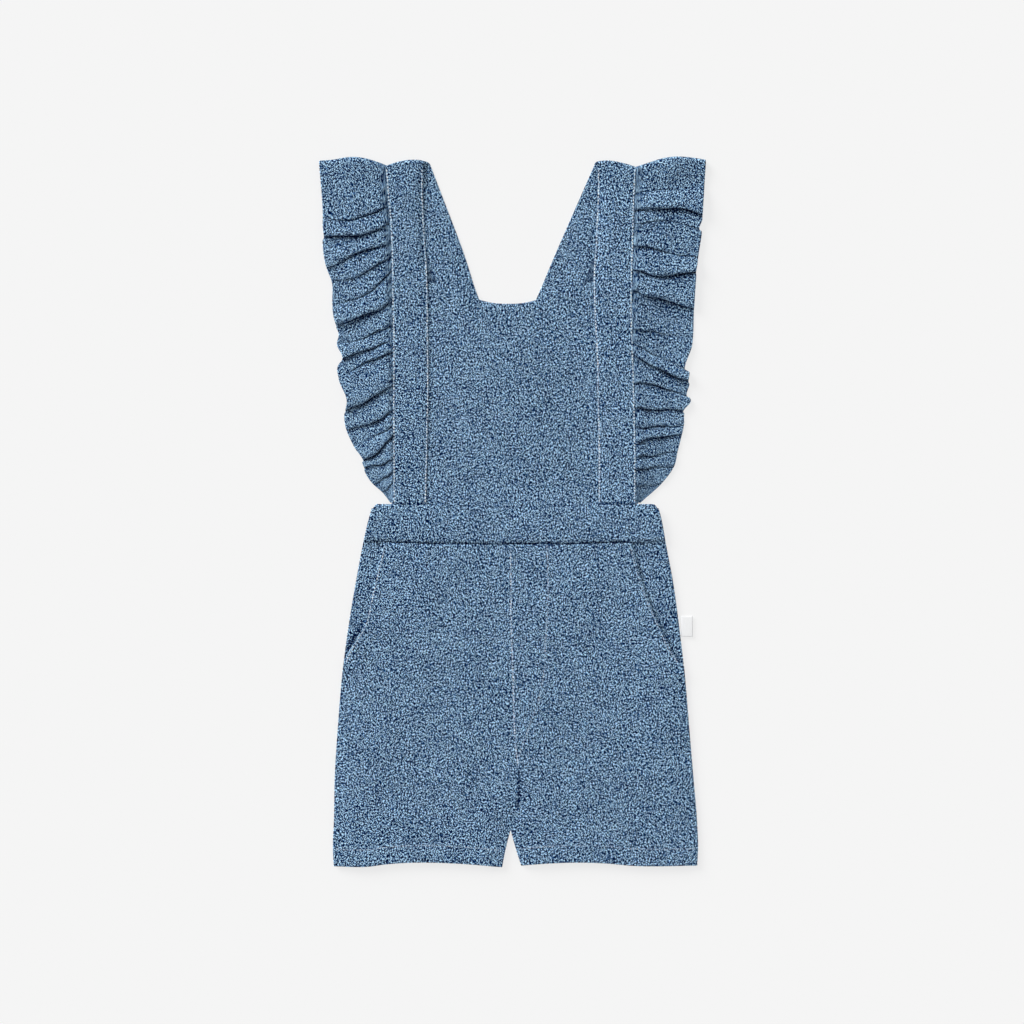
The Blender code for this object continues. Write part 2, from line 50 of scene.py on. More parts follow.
garment = {
    "waistTop": 255.6,
    "knit": 1.4,  # wall of the knit denim
    "thinKnit": 1.2,  # bib and ruffles
    "facing": 1.0,
    "band": 2.8,
    "backBand": 1.7,
    "onBack": 1.7,  # underside of what lies on the back panels
    "strapUnderside": 3.2,
    "shoulder": 4.6,
    "panelUnderside": 3.0,
    "bandUnderside": 2.0,
    "lap": 0.12,  # how far sewn pieces run into each other
    "rim": 0.9,  # width of the rounded rim
    "rimSteps": (0.0, 0.2, 0.5),
    "rimKeeps": (0.12, 0.6, 0.88),  # share of the half wall left on each ring of the rim
    "body": "root",
}
mm = 0.001
toRow = np.array([0.0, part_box("waistband_front")[1][1] / mm - garment["waistTop"], 0.0])


def smooth(low, high, value):
    share = np.clip((value - low) / (high - low), 0.0, 1.0)
    return share * share * (3 - 2 * share)


def fade(low, high, value):
    return 1 - smooth(low, high, value)


def plateau(begins, full, ends, gone, value):
    return smooth(begins, full, value) * fade(ends, gone, value)


def hump(distance, width):
    # 1 on a line, and less and less on both sides of it
    return np.exp(-((distance / width) ** 2))


def mix(start, end, share):
    return start + (end - start) * share


def curve(rows, column, at):
    # a smooth curve through one column of a table, against the table's first column
    rows = sorted(rows)
    xs = np.array([row[0] for row in rows], float)
    ys = np.array([row[column] for row in rows], float)
    slopes = np.gradient(ys, xs)
    at = np.clip(np.asarray(at, float), xs[0], xs[-1])
    i = np.clip(np.searchsorted(xs, at) - 1, 0, len(xs) - 2)
    gap = xs[i + 1] - xs[i]
    t = (at - xs[i]) / gap
    start = (1 + 2 * t) * (1 - t) ** 2 * ys[i] + t * (1 - t) ** 2 * gap * slopes[i]
    end = t * t * (3 - 2 * t) * ys[i + 1] - t * t * (1 - t) * gap * slopes[i + 1]
    return start + end


def stations(count, length):
    # shares from 0 to 1 along a side, close together at both ends for the rounded rim
    rim = garment["rim"] / length
    near = np.array(garment["rimSteps"]) * rim
    return np.concatenate([near, np.linspace(rim, 1 - rim, count), 1 - near[::-1]])


def points(x, y, z):
    return np.stack(np.broadcast_arrays(x, y, z), axis=-1).astype(float)


def lengthsAlong(grid):
    # real distance along each column of a grid of points
    steps = np.linalg.norm(np.diff(grid, axis=0), axis=-1)
    return np.concatenate([np.zeros((1, grid.shape[1])), np.cumsum(steps, axis=0)])


# Shader maths

class Wire:
    # wraps one output of a shader node, so that its maths is written as plain maths
    def __init__(self, tree, socket=None):
        self.tree = tree
        self.socket = socket

    def node(self, kind, settings=None, sockets=None, output=0):
        made = self.tree.nodes.new(kind)
        for key, value in (settings or {}).items():
            if key == "stops":
                ramp = made.color_ramp
                while len(ramp.elements) < len(value):
                    ramp.elements.new(0.5)
                for element, (position, colour) in zip(ramp.elements, value):
                    element.position = position
                    element.color = (*colour, 1)
            else:
                setattr(made, key, value)
        for key, value in (sockets or {}).items():
            if isinstance(value, Wire):
                self.tree.links.new(value.socket, made.inputs[key])
            else:
                made.inputs[key].default_value = value
        return Wire(self.tree, made.outputs[output])

    def maths(self, operation, first, second):
        return self.node("ShaderNodeMath", {"operation": operation}, {0: first, 1: second})

    def __add__(self, other):
        return self.maths("ADD", self, other)

    def __radd__(self, other):
        return self.maths("ADD", other, self)

    def __sub__(self, other):
        return self.maths("SUBTRACT", self, other)

    def __rsub__(self, other):
        return self.maths("SUBTRACT", other, self)

    def __mul__(self, other):
        return self.maths("MULTIPLY", self, other)

    def __rmul__(self, other):
        return self.maths("MULTIPLY", other, self)

    def larger(self, other):
        return self.maths("MAXIMUM", self, other)


def newMaterial(name, roughness, sheen=0.0):
    material = bpy.data.materials.new(name)
    material.use_nodes = True
    shader = material.node_tree.nodes["Principled BSDF"]
    shader.inputs["Roughness"].default_value = roughness
    shader.inputs["Specular IOR Level"].default_value = 0.04
    shader.inputs["Sheen Weight"].default_value = sheen
    shader.inputs["Sheen Roughness"].default_value = 0.5
    return material, shader, Wire(material.node_tree)


def feed(wire, shader, socket):
    wire.tree.links.new(wire.socket, shader.inputs[socket])


def paint(red, green, blue):
    # a colour as a screen shows it, 0 to 255, for a shader
    shares = [level / 255 for level in (red, green, blue)]
    return tuple(level / 12.92 if level <= 0.04045 else ((level + 0.055) / 1.055) ** 2.4 for level in shares)


denim = {
    "dashAcross": 1640.0,  # noise cells for each metre across a printed dash
    "dashAlong": 730.0,
    "dashAngle": 54.0,  # both ways from the weft
    "speckle": 1650.0,
    "cloud": 60.0,  # slow drift of the dye
    "tone": 0.19,  # low, because pale dashes outweigh dark ones to the eye
    "dashShare": 5.6,
    "speckleShare": 1.5,
    "cloudShare": 0.45,
    "shadeShare": 2.0,  # how much the painted shade darkens the colour deep in a fold or seam
    "stops": [
        (0.0, paint(0, 9, 44)), (0.25, paint(0, 26, 81)), (0.5, paint(10, 68, 130)),
        (0.75, paint(80, 146, 210)), (1.0, paint(192, 230, 255)),
    ],
    "roughness": 0.92,
    "sheen": 0.02,
    "reliefDepth": 0.0002,
    "reliefStrength": 0.3,
}


def knitDenim(name, grain=0.0, lighter=0.0):
    # knit with a printed twill look: short pale and dark dashes along both diagonals, over fine speckle
    material, shader, start = newMaterial(name, denim["roughness"], denim["sheen"])
    weave = start.node("ShaderNodeUVMap", {"uv_map": "weave"})

    def dashes(angle, shift):
        turned = start.node(
            "ShaderNodeVectorRotate",
            {"rotation_type": "Z_AXIS"},
            {"Vector": weave, "Angle": radians(angle + grain)},
        )
        stretched = start.node(
            "ShaderNodeVectorMath",
            {"operation": "MULTIPLY_ADD"},
            {0: turned, 1: (denim["dashAlong"], denim["dashAcross"], 1), 2: (shift, shift / 2, 0)},
        )
        return start.node(
            "ShaderNodeTexNoise",
            {"noise_dimensions": "2D"},
            {"Vector": stretched, "Scale": 1.0, "Detail": 0.0},
        )

    def speckles(scale, detail):
        return start.node(
            "ShaderNodeTexNoise",
            {"noise_dimensions": "2D"},
            {"Vector": weave, "Scale": scale, "Detail": detail, "Roughness": 0.5},
        )

    turn = denim["dashAngle"]
    pale = dashes(turn, 0.0).larger(dashes(-turn, 7.0))
    dark = dashes(turn, 31.0).larger(dashes(-turn, 53.0))
    fine = speckles(denim["speckle"], 0.0)
    cloud = speckles(denim["cloud"], 2.0)
    # the shade attribute holds painted shade, which darkens the colour in creases and seams
    shade = start.node("ShaderNodeAttribute", {"attribute_name": "shade"}, output="Fac")
    tone = denim["tone"] + lighter + (pale - dark) * denim["dashShare"] + (fine - 0.5) * denim["speckleShare"]
    tone = tone + (cloud - 0.5) * denim["cloudShare"] - shade * denim["shadeShare"]
    colour = start.node("ShaderNodeValToRGB", {"stops": denim["stops"]}, {"Fac": tone})
    feed(colour, shader, "Base Color")
    relief = start.node(
        "ShaderNodeBump",
        {},
        {"Strength": denim["reliefStrength"], "Distance": denim["reliefDepth"], "Height": pale - dark},
    )
    feed(relief, shader, "Normal")
    return material


thread = {
    # shown most and least
    "strap": (paint(240, 250, 255), paint(168, 190, 214)),
    "panel": (paint(230, 240, 250), paint(124, 152, 184)),
    "faint": (paint(190, 206, 222), paint(94, 122, 152)),
    "patches": 210.0,  # the thread shows more in some places than in others
    "twist": 900.0,
}


def twistedThread(which):
    # twisted sewing thread, paler on its plies than between them
    material, shader, start = newMaterial(f"thread_{which}", 0.7, 0.1)
    place = start.node("ShaderNodeTexCoord", output="Object")
    plies = start.node(
        "ShaderNodeTexWave",
        {"wave_type": "BANDS", "bands_direction": "DIAGONAL"},
        {"Vector": place, "Scale": thread["twist"], "Distortion": 1.5, "Detail": 1.0},
        output="Fac",
    )
    patches = start.node(
        "ShaderNodeTexNoise", {}, {"Vector": place, "Scale": thread["patches"], "Detail": 1.0}, output="Fac"
    )
    shown = (patches - 0.5) * 3.0 + 0.56 + (plies - 0.5) * 0.3
    pale, shade = thread[which]
    colour = start.node(
        "ShaderNodeMix",
        {"data_type": "RGBA", "clamp_factor": True},
        {0: shown, 6: (*shade, 1), 7: (*pale, 1)},
        output=2,
    )
    feed(colour, shader, "Base Color")
    relief = start.node("ShaderNodeBump", {}, {"Strength": 0.5, "Distance": 0.0001, "Height": plies})
    feed(relief, shader, "Normal")
    return material


# Cloth pieces

def meshData(name, mesh):
    data = bpy.data.meshes.new(name)
    mesh.to_mesh(data)
    mesh.free()
    return data


def addObject(name, data):
    made = bpy.data.objects.new(name, data)
    bpy.context.scene.collection.objects.link(made)
    return made


def finishPiece(name, data, nodes, material):
    piece = addObject(name, data)
    data.materials.append(material)
    data.shade_smooth()
    if nodes:
        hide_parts(*nodes)
    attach(piece, garment["body"])
    return piece


def clothPiece(name, node, top, under, weave, material, soften=(1, 1, 1, 1), slot="denim", shade=None):
    # a closed wall between two faces on one grid of points. soften is how round its rim is on the grid's
    # first row, last row, first column and last column
    rows, columns = top.shape[:2]

    def kept(count, first, last):
        share = np.ones(count)
        for ring, keep in enumerate(garment["rimKeeps"]):
            share[ring] = 1 - (1 - keep) * first
            share[-1 - ring] = 1 - (1 - keep) * last
        return share

    share = np.minimum(kept(rows, *soften[:2])[:, None], kept(columns, *soften[2:])[None, :])[..., None]
    middle = (top + under) / 2
    top, under = mix(middle, top, share) + toRow, mix(middle, under, share) + toRow

    mesh = bmesh.new()
    bmesh.ops.create_grid(mesh, x_segments=columns - 1, y_segments=rows - 1, size=1)
    copy = bmesh.ops.extrude_face_region(mesh, geom=mesh.faces[:])["geom"]
    raised = [element for element in copy if isinstance(element, bmesh.types.BMVert)]
    bmesh.ops.translate(mesh, verts=raised, vec=(0, 0, 1))
    bmesh.ops.recalc_face_normals(mesh, faces=mesh.faces[:])
    data = meshData(name, mesh)

    flat = np.empty(len(data.vertices) * 3)
    data.vertices.foreach_get("co", flat)
    flat = flat.reshape(-1, 3)
    column = np.rint((flat[:, 0] + 1) / 2 * (columns - 1)).astype(int)
    row = np.rint((flat[:, 1] + 1) / 2 * (rows - 1)).astype(int)
    placed = np.where(flat[:, 2:] > 0.5, top[row, column], under[row, column]) * mm
    data.vertices.foreach_set("co", placed.ravel())
    corner = np.empty(len(data.loops), int)
    data.loops.foreach_get("vertex_index", corner)
    layer = data.uv_layers.new(name="weave")
    layer.data.foreach_set("uv", (weave[row[corner], column[corner]] * mm).ravel())
    # shade is painted shade for each point, which darkens the denim's colour
    if shade is not None:
        data.attributes.new("shade", "FLOAT", "POINT").data.foreach_set("value", shade[row, column])
    data.update()

    check = bmesh.new()
    check.from_mesh(data)
    if check.calc_volume(signed=True) < 0:
        bmesh.ops.reverse_faces(check, faces=check.faces[:])
        check.to_mesh(data)
    check.free()
    return finishPiece(name, data, [node], material)


def underside(top, wall, lowest):
    # the wall's other face, kept away from the top along its slope, and no lower than lowest
    normal = np.cross(np.gradient(top, axis=0), np.gradient(top, axis=1))
    level = np.abs(normal[..., 2]) / np.maximum(np.linalg.norm(normal, axis=-1), 1e-9)
    under = top.copy()
    under[..., 2] = np.maximum(top[..., 2] - wall / np.maximum(level, 0.5), lowest)
    return under


creases = {
    # across, height, angle, half length, half width, rise: soft folds of the front panels and the bib
    "front": [
        (-60, 196, 75, 34, 9, 0.6), (-28, 150, 82, 44, 9, 0.5), (-90, 96, 96, 40, 9, 0.6),
        (-45, 62, 70, 34, 8, 0.6), (-16, 40, 48, 22, 7, 0.7), (-72, 32, 88, 24, 8, 0.5),
        (38, 188, 100, 38, 9, 0.6), (74, 140, 84, 40, 9, 0.5), (28, 108, 96, 36, 9, 0.5),
        (98, 78, 82, 38, 9, 0.6), (48, 46, 112, 30, 8, 0.6), (20, 42, 130, 22, 7, 0.7),
        (-38, 288, 80, 22, 9, 0.4), (32, 300, 96, 26, 9, 0.5), (-30, 366, 100, 24, 9, 0.5),
        (26, 368, 78, 22, 9, 0.4), (-84, 214, 60, 12, 4, 0.35), (66, 216, 118, 13, 4, 0.35),
        (-14, 212, 80, 12, 3.5, 0.3), (14, 208, 98, 14, 3.5, 0.3), (-104, 60, 84, 26, 5, 0.35),
        (112, 42, 92, 22, 5, 0.35), (6, 66, 66, 16, 4, 0.35), (-30, 96, 104, 20, 5, 0.3),
    ],
    # the same on the back panels, as troughs seen from below
    "back": [
        (-70, 190, 100, 34, 8, 0.5), (-34, 140, 80, 40, 9, 0.45), (-96, 90, 84, 36, 8, 0.5),
        (-22, 44, 54, 22, 6, 0.5), (-60, 52, 98, 26, 7, 0.4), (44, 196, 76, 32, 8, 0.5),
        (84, 132, 100, 40, 9, 0.45), (30, 92, 82, 30, 8, 0.5), (22, 38, 126, 20, 6, 0.5),
        (104, 62, 88, 30, 8, 0.4),
    ],
}


def relief(kind, across, height):
    rise = np.zeros(np.broadcast(across, height).shape)
    for x, y, angle, reach, width, tall in creases[kind]:
        dx, dy = across - x, height - y
        along = (dx * np.cos(radians(angle)) + dy * np.sin(radians(angle))) / reach
        beside = dy * np.cos(radians(angle)) - dx * np.sin(radians(angle))
        rise += tall * np.clip(1 - along**2, 0, 1) ** 2 * hump(beside, width)
    return rise


shorts = {
    # height, left, right
    "sideSeams": [
        (256.0, -98.0, 101.8), (245.0, -101.2, 104.8), (229.0, -104.9, 107.7), (201.0, -110.2, 113.0),
        (167.0, -115.8, 117.6), (133.0, -120.1, 121.5), (99.0, -122.9, 124.3), (66.0, -125.0, 127.1),
        (32.0, -125.7, 129.9), (15.0, -126.4, 130.6), (0.0, -125.7, 129.9),
    ],
    "pocketOpenings": [
        (228.0, -91.0, 84.0), (195.0, -98.9, 93.3), (169.0, -105.4, 104.4), (146.0, -118.0, 116.6),
        (141.5, -119.2, 120.4),
    ],
    "pocketFoot": 143.0,
    # height, across
    "centreSeam": [
        (228.0, -1.3), (200.0, -1.2), (179.0, -1.1), (150.0, -0.2), (132.0, 0.4), (89.0, 2.0), (76.0, 3.4),
        (65.0, 4.6), (44.0, 3.4), (34.0, 1.0), (26.1, -1.4),
    ],
    "darkSeam": (44.0, 70.0),  # painted shade makes the centre seam a dark line between these heights
    "darkSeamShade": 0.6,
    "darkSeamWidth": 0.7,
    "inseams": [(26.1, -1.4, -1.4), (13.0, -4.6, 2.2), (0.0, -7.2, 6.4)],
    # across, height
    "hem": [
        (-126, 0.7), (-100, 0.7), (-92, 1.8), (-34, 2.4), (-20, 1.3), (-7, 0.2), (6, 1.2), (17, 2.2),
        (71, 2.4), (80, 1.5), (130, 1.2),
    ],
    "crotch": 26.1,
    "waistSeam": 229.6,
    "waistDip": 2.0,
    "legWidth": 115.0,
    "hemDepth": 12.0,  # the turned hem up to its stitching
    "hemRise": 0.3,
    "hemPull": 0.25,  # how far the stitching draws the cloth in
    "hemLine": {"left": 0.07, "right": 0.13},  # painted shade just below the hem's stitching
    "hemLineBelow": 0.9,
    "hemLineWidth": 0.5,
    # painted highlight beside the centre seam: across, below the waistband, half its width, half its height
    "centreHighlight": (11.0, 6.5, 9.0, 4.5),
    "centreHighlightShare": 0.06,
    "sideFall": 16.0,  # width over which a front panel comes down to its side seam
    "sideFlat": 14.0,  # the folds fade out this near to the side seam
    "inseamFall": 12.0,  # the same fall at the inseams, which fades out over the next size above the crotch
    "seatFade": 30.0,
    "legGap": 0.15,  # how far a leg's edge stays from its inseam's line
    "facingStep": (16.0, 4.0),  # it rises over the facing between these distances below the pocket's foot
    "seamDepth": 0.9,  # the ditch along the waistband's lower seam
    "seamWidth": 0.75,
    "mouthLift": {"left": 0.7, "right": 0.2},  # how far the pockets' mouths stand open near their feet, and how strong the painted shadow inside them is
    "mouthWidth": 9.0,
    "mouthRange": (2.0, 12.0, 22.0, 60.0),  # above the foot: where the lift starts, is full, ends and is gone
    "backInset": 0.4,
    "facingLap": 14.0,  # how far the facing reaches in under the front panel
    "facingSag": 0.25,
    "flat": {"front": (0.124, 0.24), "back": (0.128, 0.242), "facing": (0.04, 0.095)},
}
columnOf = {"left": 1, "right": 2}
outwards = {"left": -1, "right": 1}


def sideSeam(side, y):
    return curve(shorts["sideSeams"], columnOf[side], y)


def waistSeam(x):
    ripple = 0.22 * np.sin(x / 8.3) + 0.14 * np.sin(x / 3.9 + 1.0)
    return shorts["waistSeam"] + ripple - shorts["waistDip"] * (1 - (x / 107.7) ** 2)


def innerSeam(side, y):
    # the centre seam, and the inseam below the crotch
    inseam = curve(shorts["inseams"], columnOf[side], y)
    return np.where(y > shorts["crotch"], curve(shorts["centreSeam"], 1, y), inseam)


def pocketOpening(side, y):
    out = outwards[side]
    opening = curve(shorts["pocketOpenings"], columnOf[side], y)
    return out * np.minimum(opening * out, sideSeam(side, y) * out)


def frontEdge(side, y):
    return np.where(y > shorts["pocketFoot"], pocketOpening(side, y), sideSeam(side, y))


def legGrid(side, outerEdge, inset, columns, seatRows, legRows):
    out = outwards[side]
    crotch = shorts["crotch"]
    share = stations(columns, shorts["legWidth"])[None, :]
    near = np.array(garment["rimSteps"]) * garment["rim"]
    rim = garment["rim"]
    seatLength = shorts["waistSeam"] - crotch
    seat = np.concatenate([near / seatLength, np.linspace(rim / seatLength, 1.0, seatRows)])[:, None]
    leg = np.concatenate([np.linspace(0, 1 - rim / crotch, legRows)[1:], 1 - near[::-1] / crotch])[:, None]
    x = out * shorts["legWidth"] * (1 - share)
    for _ in range(3):
        seatY = mix(waistSeam(x[0]) + garment["lap"], crotch, seat)
        legY = mix(crotch, curve(shorts["hem"], 1, x[-1]) + inset, leg)
        y = np.concatenate([seatY, legY])
        # the panels meet above the crotch only
        apart = mix(shorts["legGap"], -garment["lap"], smooth(crotch - 1, crotch + 1, y))
        inner = innerSeam(side, y) + out * apart
        x = mix(outerEdge(y) - out * inset, inner, share)
    return x, y


def seamShade(x, y):
    # painted shade along the waistband's lower seam, darkest in the middle and lost near the sides
    middle = 0.35 + 0.25 * hump(x - 11, 10)
    ends = smooth(3.0, 17.0, np.minimum(x - sideSeam("left", y), sideSeam("right", y) - x))
    return middle * ends * hump(waistSeam(x) - y, 0.8 * shorts["seamWidth"])


def crotchShade(side, x, y):
    # painted shade makes the centre seam a dark line in its lowest part only
    low, high = shorts["darkSeam"]
    along = plateau(low - 8, low + 4, high - 3, high + 3, y)
    return shorts["darkSeamShade"] * along * hump(x - innerSeam(side, y), shorts["darkSeamWidth"])


def panelShade(side, x, y):
    # painted shade on a front leg panel along the waistband's seam, the centre seam and below the hem's
    # stitching, less a painted highlight beside the centre seam
    across, below, wide, tall = shorts["centreHighlight"]
    highlight = shorts["centreHighlightShare"] * hump(x - across, wide) * hump(waistSeam(x) - y - below, tall)
    fromLine = y - curve(shorts["hem"], 1, x) - shorts["hemDepth"] + shorts["hemLineBelow"]
    hem = shorts["hemLine"][side] * hump(fromLine, shorts["hemLineWidth"])
    return np.maximum(seamShade(x, y), crotchShade(side, x, y)) + hem - highlight


def frontTop(side, x, y):
    # how high the top of a front leg panel lies
    out = outwards[side]
    foot, crotch = shorts["pocketFoot"], shorts["crotch"]
    fromSide = (sideSeam(side, y) - x) * out
    overFacing = smooth(foot - shorts["facingStep"][0], foot - shorts["facingStep"][1], y)
    fullness = np.maximum(smooth(0, shorts["sideFall"], fromSide), overFacing)
    leg = fade(crotch, crotch + shorts["seatFade"], y)
    fullness = fullness * mix(1.0, smooth(0, shorts["inseamFall"], np.abs(x - innerSeam(side, y))), leg)
    level = mix(garment["onBack"], garment["panelUnderside"], fullness) + garment["knit"]
    fromHem = y - curve(shorts["hem"], 1, x)
    hem = shorts["hemRise"] * fade(shorts["hemDepth"] - 0.8, shorts["hemDepth"] + 0.6, fromHem)
    pull = shorts["hemPull"] * hump(fromHem - shorts["hemDepth"], 0.8)
    mouth = shorts["mouthLift"][side] * hump(pocketOpening(side, y) - x, shorts["mouthWidth"])
    mouth = mouth * plateau(*shorts["mouthRange"], y - foot) * (y > foot)
    seam = shorts["seamDepth"] * hump(waistSeam(x) - y, shorts["seamWidth"])
    fold = relief("front", x, y) * smooth(0, shorts["sideFlat"], fromSide) * smooth(1, 7, y)
    return level + fold + hem - pull + mouth - seam


def buildShorts(side, cloth, facingCloth):
    out = outwards[side]
    x, y = legGrid(side, lambda at: sideSeam(side, at), shorts["backInset"], 30, 44, 8)
    trough = relief("back", x, y) * smooth(0, 10, (sideSeam(side, y) - x) * out)
    back = clothPiece(
        f"shorts_back_{side}_cloth", f"shorts_back_{side}",
        points(x, y, garment["knit"]), points(x, y, trough), points(x, y, 0)[..., :2], cloth,
    )
    x, y = legGrid(side, lambda at: frontEdge(side, at), 0.0, 92, 158, 22)
    top = points(x, y, frontTop(side, x, y))
    front = clothPiece(
        f"shorts_front_{side}_cloth", f"shorts_front_{side}",
        top, underside(top, garment["knit"], garment["onBack"]), points(x, y, 0)[..., :2],
        cloth, (1, 1, 1, 0.55), shade=panelShade(side, x, y),
    )
    high, foot = shorts["waistSeam"] + 0.2, shorts["pocketFoot"]
    share = stations(16, 30.0)[None, :]
    y = mix(high, foot, stations(44, high - foot))[:, None]
    inner = curve(shorts["pocketOpenings"], columnOf[side], y) - out * shorts["facingLap"]
    x = mix(inner, sideSeam(side, y), share)
    y = np.minimum(y + 0 * x, waistSeam(x) + garment["lap"])
    sag = shorts["facingSag"] * np.sin(pi * share) * smooth(foot, foot + 30, y)
    onBack = garment["onBack"]
    fromMouth = (x - pocketOpening(side, y)) * out
    # painted shadow on the facing inside a pocket's open mouth, near its foot
    shade = shorts["mouthLift"][side] * hump(np.maximum(fromMouth, 0), 3.5) * hump(y - foot - 18, 12)
    facing = clothPiece(
        f"pocket_facing_{side}_cloth", f"pocket_facing_{side}",
        points(x, y, onBack + garment["facing"] - sag), points(x, y, onBack),
        points(x, y, 0)[..., :2], facingCloth, shade=shade,
    )
    return back, front, facing


band = {
    "corner": 3.0,
    "width": 205.0,
    "swell": 0.3,
    "seamDepth": 1.3,
    "topFall": 0.35,
    "topDip": 2.3,  # how far the top edge sinks between the straps
    "dipHalf": 66.0,
    "tuckIn": 0.7,  # how far the bib and the straps go into it
    "ripple": 0.12,
    "flat": {"front": (0.206, 0.03), "back": (0.205, 0.028)},
}


def bandEdge(x):
    # height of the waistband's top edge
    return garment["waistTop"] - band["topDip"] * (1 - np.clip(np.abs(x) / band["dipHalf"], 0, 1) ** 2)


def bandShade(x, y, share):
    # painted shade on a piece where it goes into the waistband
    return share * hump(y - bandEdge(x), 0.8)


def buildWaistband(cloth):
    made = []
    nearEnd = band["corner"] / band["width"] * np.array([0.25, 0.5, 0.75, 1.0, 1.3])
    share = np.concatenate([stations(150, band["width"]), nearEnd, 1 - nearEnd])
    share = np.sort(share)[None, :]
    down = stations(20, garment["waistTop"] - shorts["waistSeam"])[:, None]
    seams = shorts["sideSeams"]
    for which, low, wall, inset in (
        ("front", garment["bandUnderside"], garment["band"], 0.0),
        ("back", 0.0, garment["backBand"], shorts["backInset"]),
    ):
        x = mix(seams[0][1], seams[0][2], share)
        for _ in range(3):
            fromEnd = np.minimum(x - seams[0][1], seams[0][2] - x)
            corner = band["corner"] * np.clip(1 - fromEnd / band["corner"], 0, 1) ** 2
            y = mix(bandEdge(x) - corner, waistSeam(x) - garment["lap"], down)
            x = mix(sideSeam("left", y) + inset, sideSeam("right", y) - inset, share)
        swell = band["swell"] * np.sin(pi * down)
        swell = swell + band["ripple"] * np.sin(x / 7.3 + 1.4 * np.sin(x / 23)) * (1 - down) ** 3
        swell -= band["seamDepth"] * hump(y - waistSeam(x), shorts["seamWidth"])
        swell -= band["topFall"] * fade(0.0, 3.0, bandEdge(x) - y)
        z = low + wall + (swell if which == "front" else 0.0)
        made.append(
            clothPiece(
                f"waistband_{which}_cloth", f"waistband_{which}",
                points(x, y, z), points(x, y, low), points(x, y, 0)[..., :2], cloth, shade=seamShade(x, y),
            )
        )
    return made


straps = {
    # height, left outer, left inner, right outer, right inner
    "edges": [
        (494.4, -89.1, -63.0, 86.9, 59.9), (470.0, -87.7, -62.9, 85.9, 59.8),
        (452.0, -86.1, -62.2, 85.4, 59.0), (435.0, -85.3, -61.1, 85.0, 58.2),
        (417.0, -84.9, -60.0, 84.4, 57.0), (401.0, -84.8, -59.5, 84.2, 57.3),
        (384.0, -84.4, -59.4, 84.2, 57.9), (367.0, -84.2, -59.2, 84.8, 58.9),
        (343.0, -84.2, -59.0, 85.4, 59.4), (316.0, -84.2, -59.6, 86.6, 60.2),
        (283.0, -83.8, -60.1, 86.7, 60.4), (256.0, -84.0, -61.0, 86.6, 60.6),
    ],
    # share across from the outer edge, left height, right height
    "crown": [
        (0.00, 493.7, 492.9), (0.15, 495.2, 494.3), (0.42, 497.2, 496.2), (0.65, 497.9, 497.3),
        (0.85, 497.6, 497.2), (1.00, 496.4, 496.4),
    ],
    "slant": {"left": 0.385, "right": 0.44},
    "neckCurve": {"left": 2.0, "right": 0.6},  # how far a back strap bends outwards beside the neck's corner
    "neckCorner": (402.0, 22.0),  # the height of that corner, and how far up and down the bend reaches
    "shoulderShift": {"left": 5.2, "right": 2.3},
    "liesOver": {"left": 1, "right": 0},
    "crossing": 323.0,  # height where the back straps cross
    "lifted": (35.0, 51.0),  # the upper one comes down between these distances from there
    "backEnd": 3.0,  # how far a back strap goes below the waistband's top edge
    "width": 25.0,
    "edgeFall": 0.6,  # how far the inner edge comes down towards the bib
    "fallWidth": 5.0,
    "neckDroop": 1.5,  # beside the neck the inner edge lies down on the back strap
    "droopRange": (412.0, 424.0, 474.0, 490.0),  # heights where that starts, is full, ends and is gone
    "droopWidth": 8.0,
    "ditch": 0.12,  # how deep the stitching lies
    "ditchLines": (0.045, 0.955),
    "ditchWidth": 0.9,
    "length": 238.0,
    "waistShade": 0.4,  # painted shade where it goes into the waistband
    "flat": (0.027, 0.482),
}
outerOf = {"left": 1, "right": 3}
innerOf = {"left": 2, "right": 4}


def strapEdge(side, y, which="outer"):
    return curve(straps["edges"], (outerOf if which == "outer" else innerOf)[side], y)


def neckCurve(side, y):
    corner, reach = straps["neckCorner"]
    return straps["neckCurve"][side] * hump(y - corner, reach)


def strapCentre(side, y):
    # middle of a back strap at a height
    shoulder = straps["edges"][0]
    high, outer, inner = shoulder[0], shoulder[outerOf[side]], shoulder[innerOf[side]]
    reach = straps["shoulderShift"][side] + straps["slant"][side] * (high - y) - neckCurve(side, y)
    return (outer + inner) / 2 - outwards[side] * reach


def backStrapHeight(side, y):
    # underside of a back strap, which is lifted where it passes over the other one
    lift = fade(*straps["lifted"], np.abs(y - straps["crossing"]))
    return garment["onBack"] * lift * straps["liesOver"][side]


def strapDroop(across, y):
    fromInner = (1 - across) * straps["width"]
    return straps["neckDroop"] * plateau(*straps["droopRange"], y) * fade(0, straps["droopWidth"], fromInner)


def strapTop(across, y):
    # top of a strap's front. across runs from the outer edge to the inner edge
    fall = straps["edgeFall"] * fade(0.0, straps["fallWidth"], (1 - across) * straps["width"])
    for line in straps["ditchLines"]:
        fall = fall + straps["ditch"] * hump((across - line) * straps["width"], straps["ditchWidth"])
    wave = 0.1 * np.sin(y / 9.0 + 2.0 * np.sin(y / 31.0)) * np.sin(pi * across)
    return garment["shoulder"] - fall + wave - strapDroop(across, y)


def foldOver(x, crown, radius, wall, turns, shift, early):
    # both faces of a shoulder fold: a half circle from the front down to the floor.
    # early is the share that already shifts before the crown
    angle = turns[:, None]
    x = x + shift * mix(smooth(pi / 2, pi, angle), smooth(0, pi, angle), early)
    return [
        points(x, crown - radius + reach * np.sin(angle), radius + reach * np.cos(angle))
        for reach in (radius, radius - wall)
    ]


